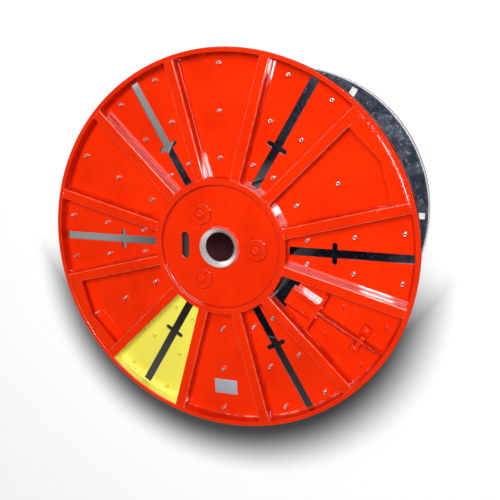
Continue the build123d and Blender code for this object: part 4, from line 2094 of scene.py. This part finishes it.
@dataclass
class Studio:
    """Pale floor with a painted shadow, soft light and the photograph's camera.

    A zone of the floor is its middle, and the radii where it starts and ends to give way.
    """

    reel: Reel
    focal: float = 40.85
    sensor: float = 36.0
    clip: Spot = (0.01, 200.0)
    shift: Spot = (0.0462, -0.0282)
    camera_place: Point = (0.5348, 0.3455, 1.3289)
    look: Point = (-0.3497, -0.2133, -0.9123)
    pattern_turn: float = -0.85
    floor_size: float = 60.0
    floor_gap: float = 0.2 * MM
    unlit: Zone = ((-0.271, -0.175), 0.69, 0.770)
    shadow: Zone = ((-0.264, -0.255), 0.68, 0.895)
    mirrored: Zone = ((0.0, 0.0), 1.2, 2.4)
    shadow_side: Spot = (-0.15, -0.50)
    shadow_grey: Colour = (0.12, 0.12, 0.12)
    near_grey: Colour = (0.42, 0.42, 0.42)
    far_grey: Colour = (0.60, 0.60, 0.60)
    floor_roughness: float = 0.9
    floor_gloss: float = 0.1
    floor_glow: float = 0.62
    sky_heights: Spot = (0.05, 0.45)
    sky_light: Spot = (0.08, 0.05)
    sky_seen: Spot = (1.0, 0.02)
    lamps: tuple[Lamp, ...] = (
        Lamp("key", (0.40, 2.25, 4.70), size=2.2, power=155.0),
        Lamp("fill", (1.10, 0.55, 5.2), size=1.2, power=60.0),
    )
    flash_offset: Point = (-0.04, 0.01, 0.03)
    flash_size: float = 0.14
    flash_power: float = 6.0

    @property
    def viewpoint(self) -> Vector:
        """Place of the camera before the pattern's small turn."""
        return Vector(self.camera_place) + UP * self.reel.face

    def camera(self) -> None:
        """Camera where the photograph was taken from."""
        data = bpy.data.cameras.new("camera")
        data.lens = self.focal
        data.sensor_width = self.sensor
        data.shift_x, data.shift_y = self.shift
        data.clip_start, data.clip_end = self.clip
        camera = bpy.data.objects.new("camera", data)
        bpy.context.scene.collection.objects.link(camera)
        look = Vector(self.look).normalized()
        side = look.cross(Vector((0.0, 1.0, 0.0))).normalized()
        axes = Matrix((side, side.cross(look), -look)).transposed().to_4x4()
        place = Matrix.Translation(self.viewpoint)
        camera.matrix_world = spin(self.pattern_turn) @ place @ axes
        bpy.context.scene.camera = camera

    def floor(self) -> None:
        """Pale floor that keeps the reel's real shadow, with a painted shadow and painted shade
        round the reel, and looks white further out.
        """
        Shop.clear()
        bpy.ops.mesh.primitive_plane_add(size=self.floor_size)
        floor = Shop.started("floor")
        floor.data.transform(Matrix.Translation(UP * (-self.reel.face - self.floor_gap)))
        bench = Bench("pale_floor")
        rays = bench.add("ShaderNodeLightPath").outputs
        mirror = bench.math("MAXIMUM", rays["Is Glossy Ray"], rays["Is Transmission Ray"])
        beyond, clear, far = (
            bench.span(bench.radius(middle), inner, outer)
            for middle, inner, outer in (self.unlit, self.shadow, self.mirrored)
        )
        open_side = bench.span(bench.axes()[1], *self.shadow_side, 1.0, 0.0)
        clear = bench.math("MAXIMUM", clear, open_side)
        seen = bench.times(rays["Is Camera Ray"], bench.math("MINIMUM", beyond, clear))
        white = bench.math("ADD", seen, bench.times(mirror, far))
        # Painted shade and shadow: the floor's grey is darker in the unlit zone round the reel and
        # darkest in the shadow zone on its -Y side.
        pale = bench.mix(beyond, self.near_grey, self.far_grey)
        bench.shade(
            Base_Color=bench.mix(clear, self.shadow_grey, pale),
            Roughness=self.floor_roughness,
            Specular_IOR_Level=self.floor_gloss,
            Emission_Color=(1.0, 1.0, 1.0),
            Emission_Strength=bench.times(white, self.floor_glow),
        )
        Shop.coat(floor, bench.material)

    def world(self) -> None:
        """Surroundings that look white near the horizon and are dim overhead."""
        world = bpy.data.worlds.new("studio")
        world.use_nodes = True
        bpy.context.scene.world = world
        tree = world.node_tree
        tree.nodes.clear()
        add, link = tree.nodes.new, tree.links.new
        path, place = add("ShaderNodeLightPath"), add("ShaderNodeTexCoord")
        split = add("ShaderNodeSeparateXYZ")
        link(place.outputs["Generated"], split.inputs[0])
        shades = []
        for light in (self.sky_light, self.sky_seen):
            height, shade = add("ShaderNodeMapRange"), add("ShaderNodeBackground")
            link(split.outputs["Z"], height.inputs["Value"])
            ends = ("From Min", "From Max", "To Min", "To Max")
            for key, value in zip(ends, (*self.sky_heights, *light)):
                height.inputs[key].default_value = value
            shade.inputs["Color"].default_value = (1.0, 1.0, 1.0, 1.0)
            link(height.outputs[0], shade.inputs["Strength"])
            shades.append(shade.outputs[0])
        seen = path.outputs["Is Camera Ray"]
        for kind in ("Is Glossy Ray", "Is Transmission Ray"):
            either = add("ShaderNodeMath")
            either.operation = "MAXIMUM"
            link(seen, either.inputs[0])
            link(path.outputs[kind], either.inputs[1])
            seen = either.outputs[0]
        mix, out = add("ShaderNodeMixShader"), add("ShaderNodeOutputWorld")
        for source, target in zip((seen, *shades), mix.inputs):
            link(source, target)
        link(mix.outputs[0], out.inputs[0])

    def build(self) -> None:
        """Set the stage."""
        self.camera()
        self.floor()
        self.world()
        flash = tuple(self.viewpoint + Vector(self.flash_offset))
        for lamp in (*self.lamps, Lamp("flash", flash, self.flash_size, self.flash_power)):
            lamp.hang()
        bpy.context.scene.view_settings.view_transform = "Standard"


def main() -> None:
    """Dress the reel, add its fittings and set the stage."""
    logging.basicConfig(level=logging.INFO, format="%(name)s: %(message)s")
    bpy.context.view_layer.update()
    reel = Reel.measured()
    finishes = Finishes(reel)
    finishes.dress()
    for assembly in (Rivets, Welds, Seams, Bush, Bosses, TypePlate, Clamp):
        assembly(reel, finishes).build()
    Studio(reel).build()


if __name__ == "__main__":
    main()
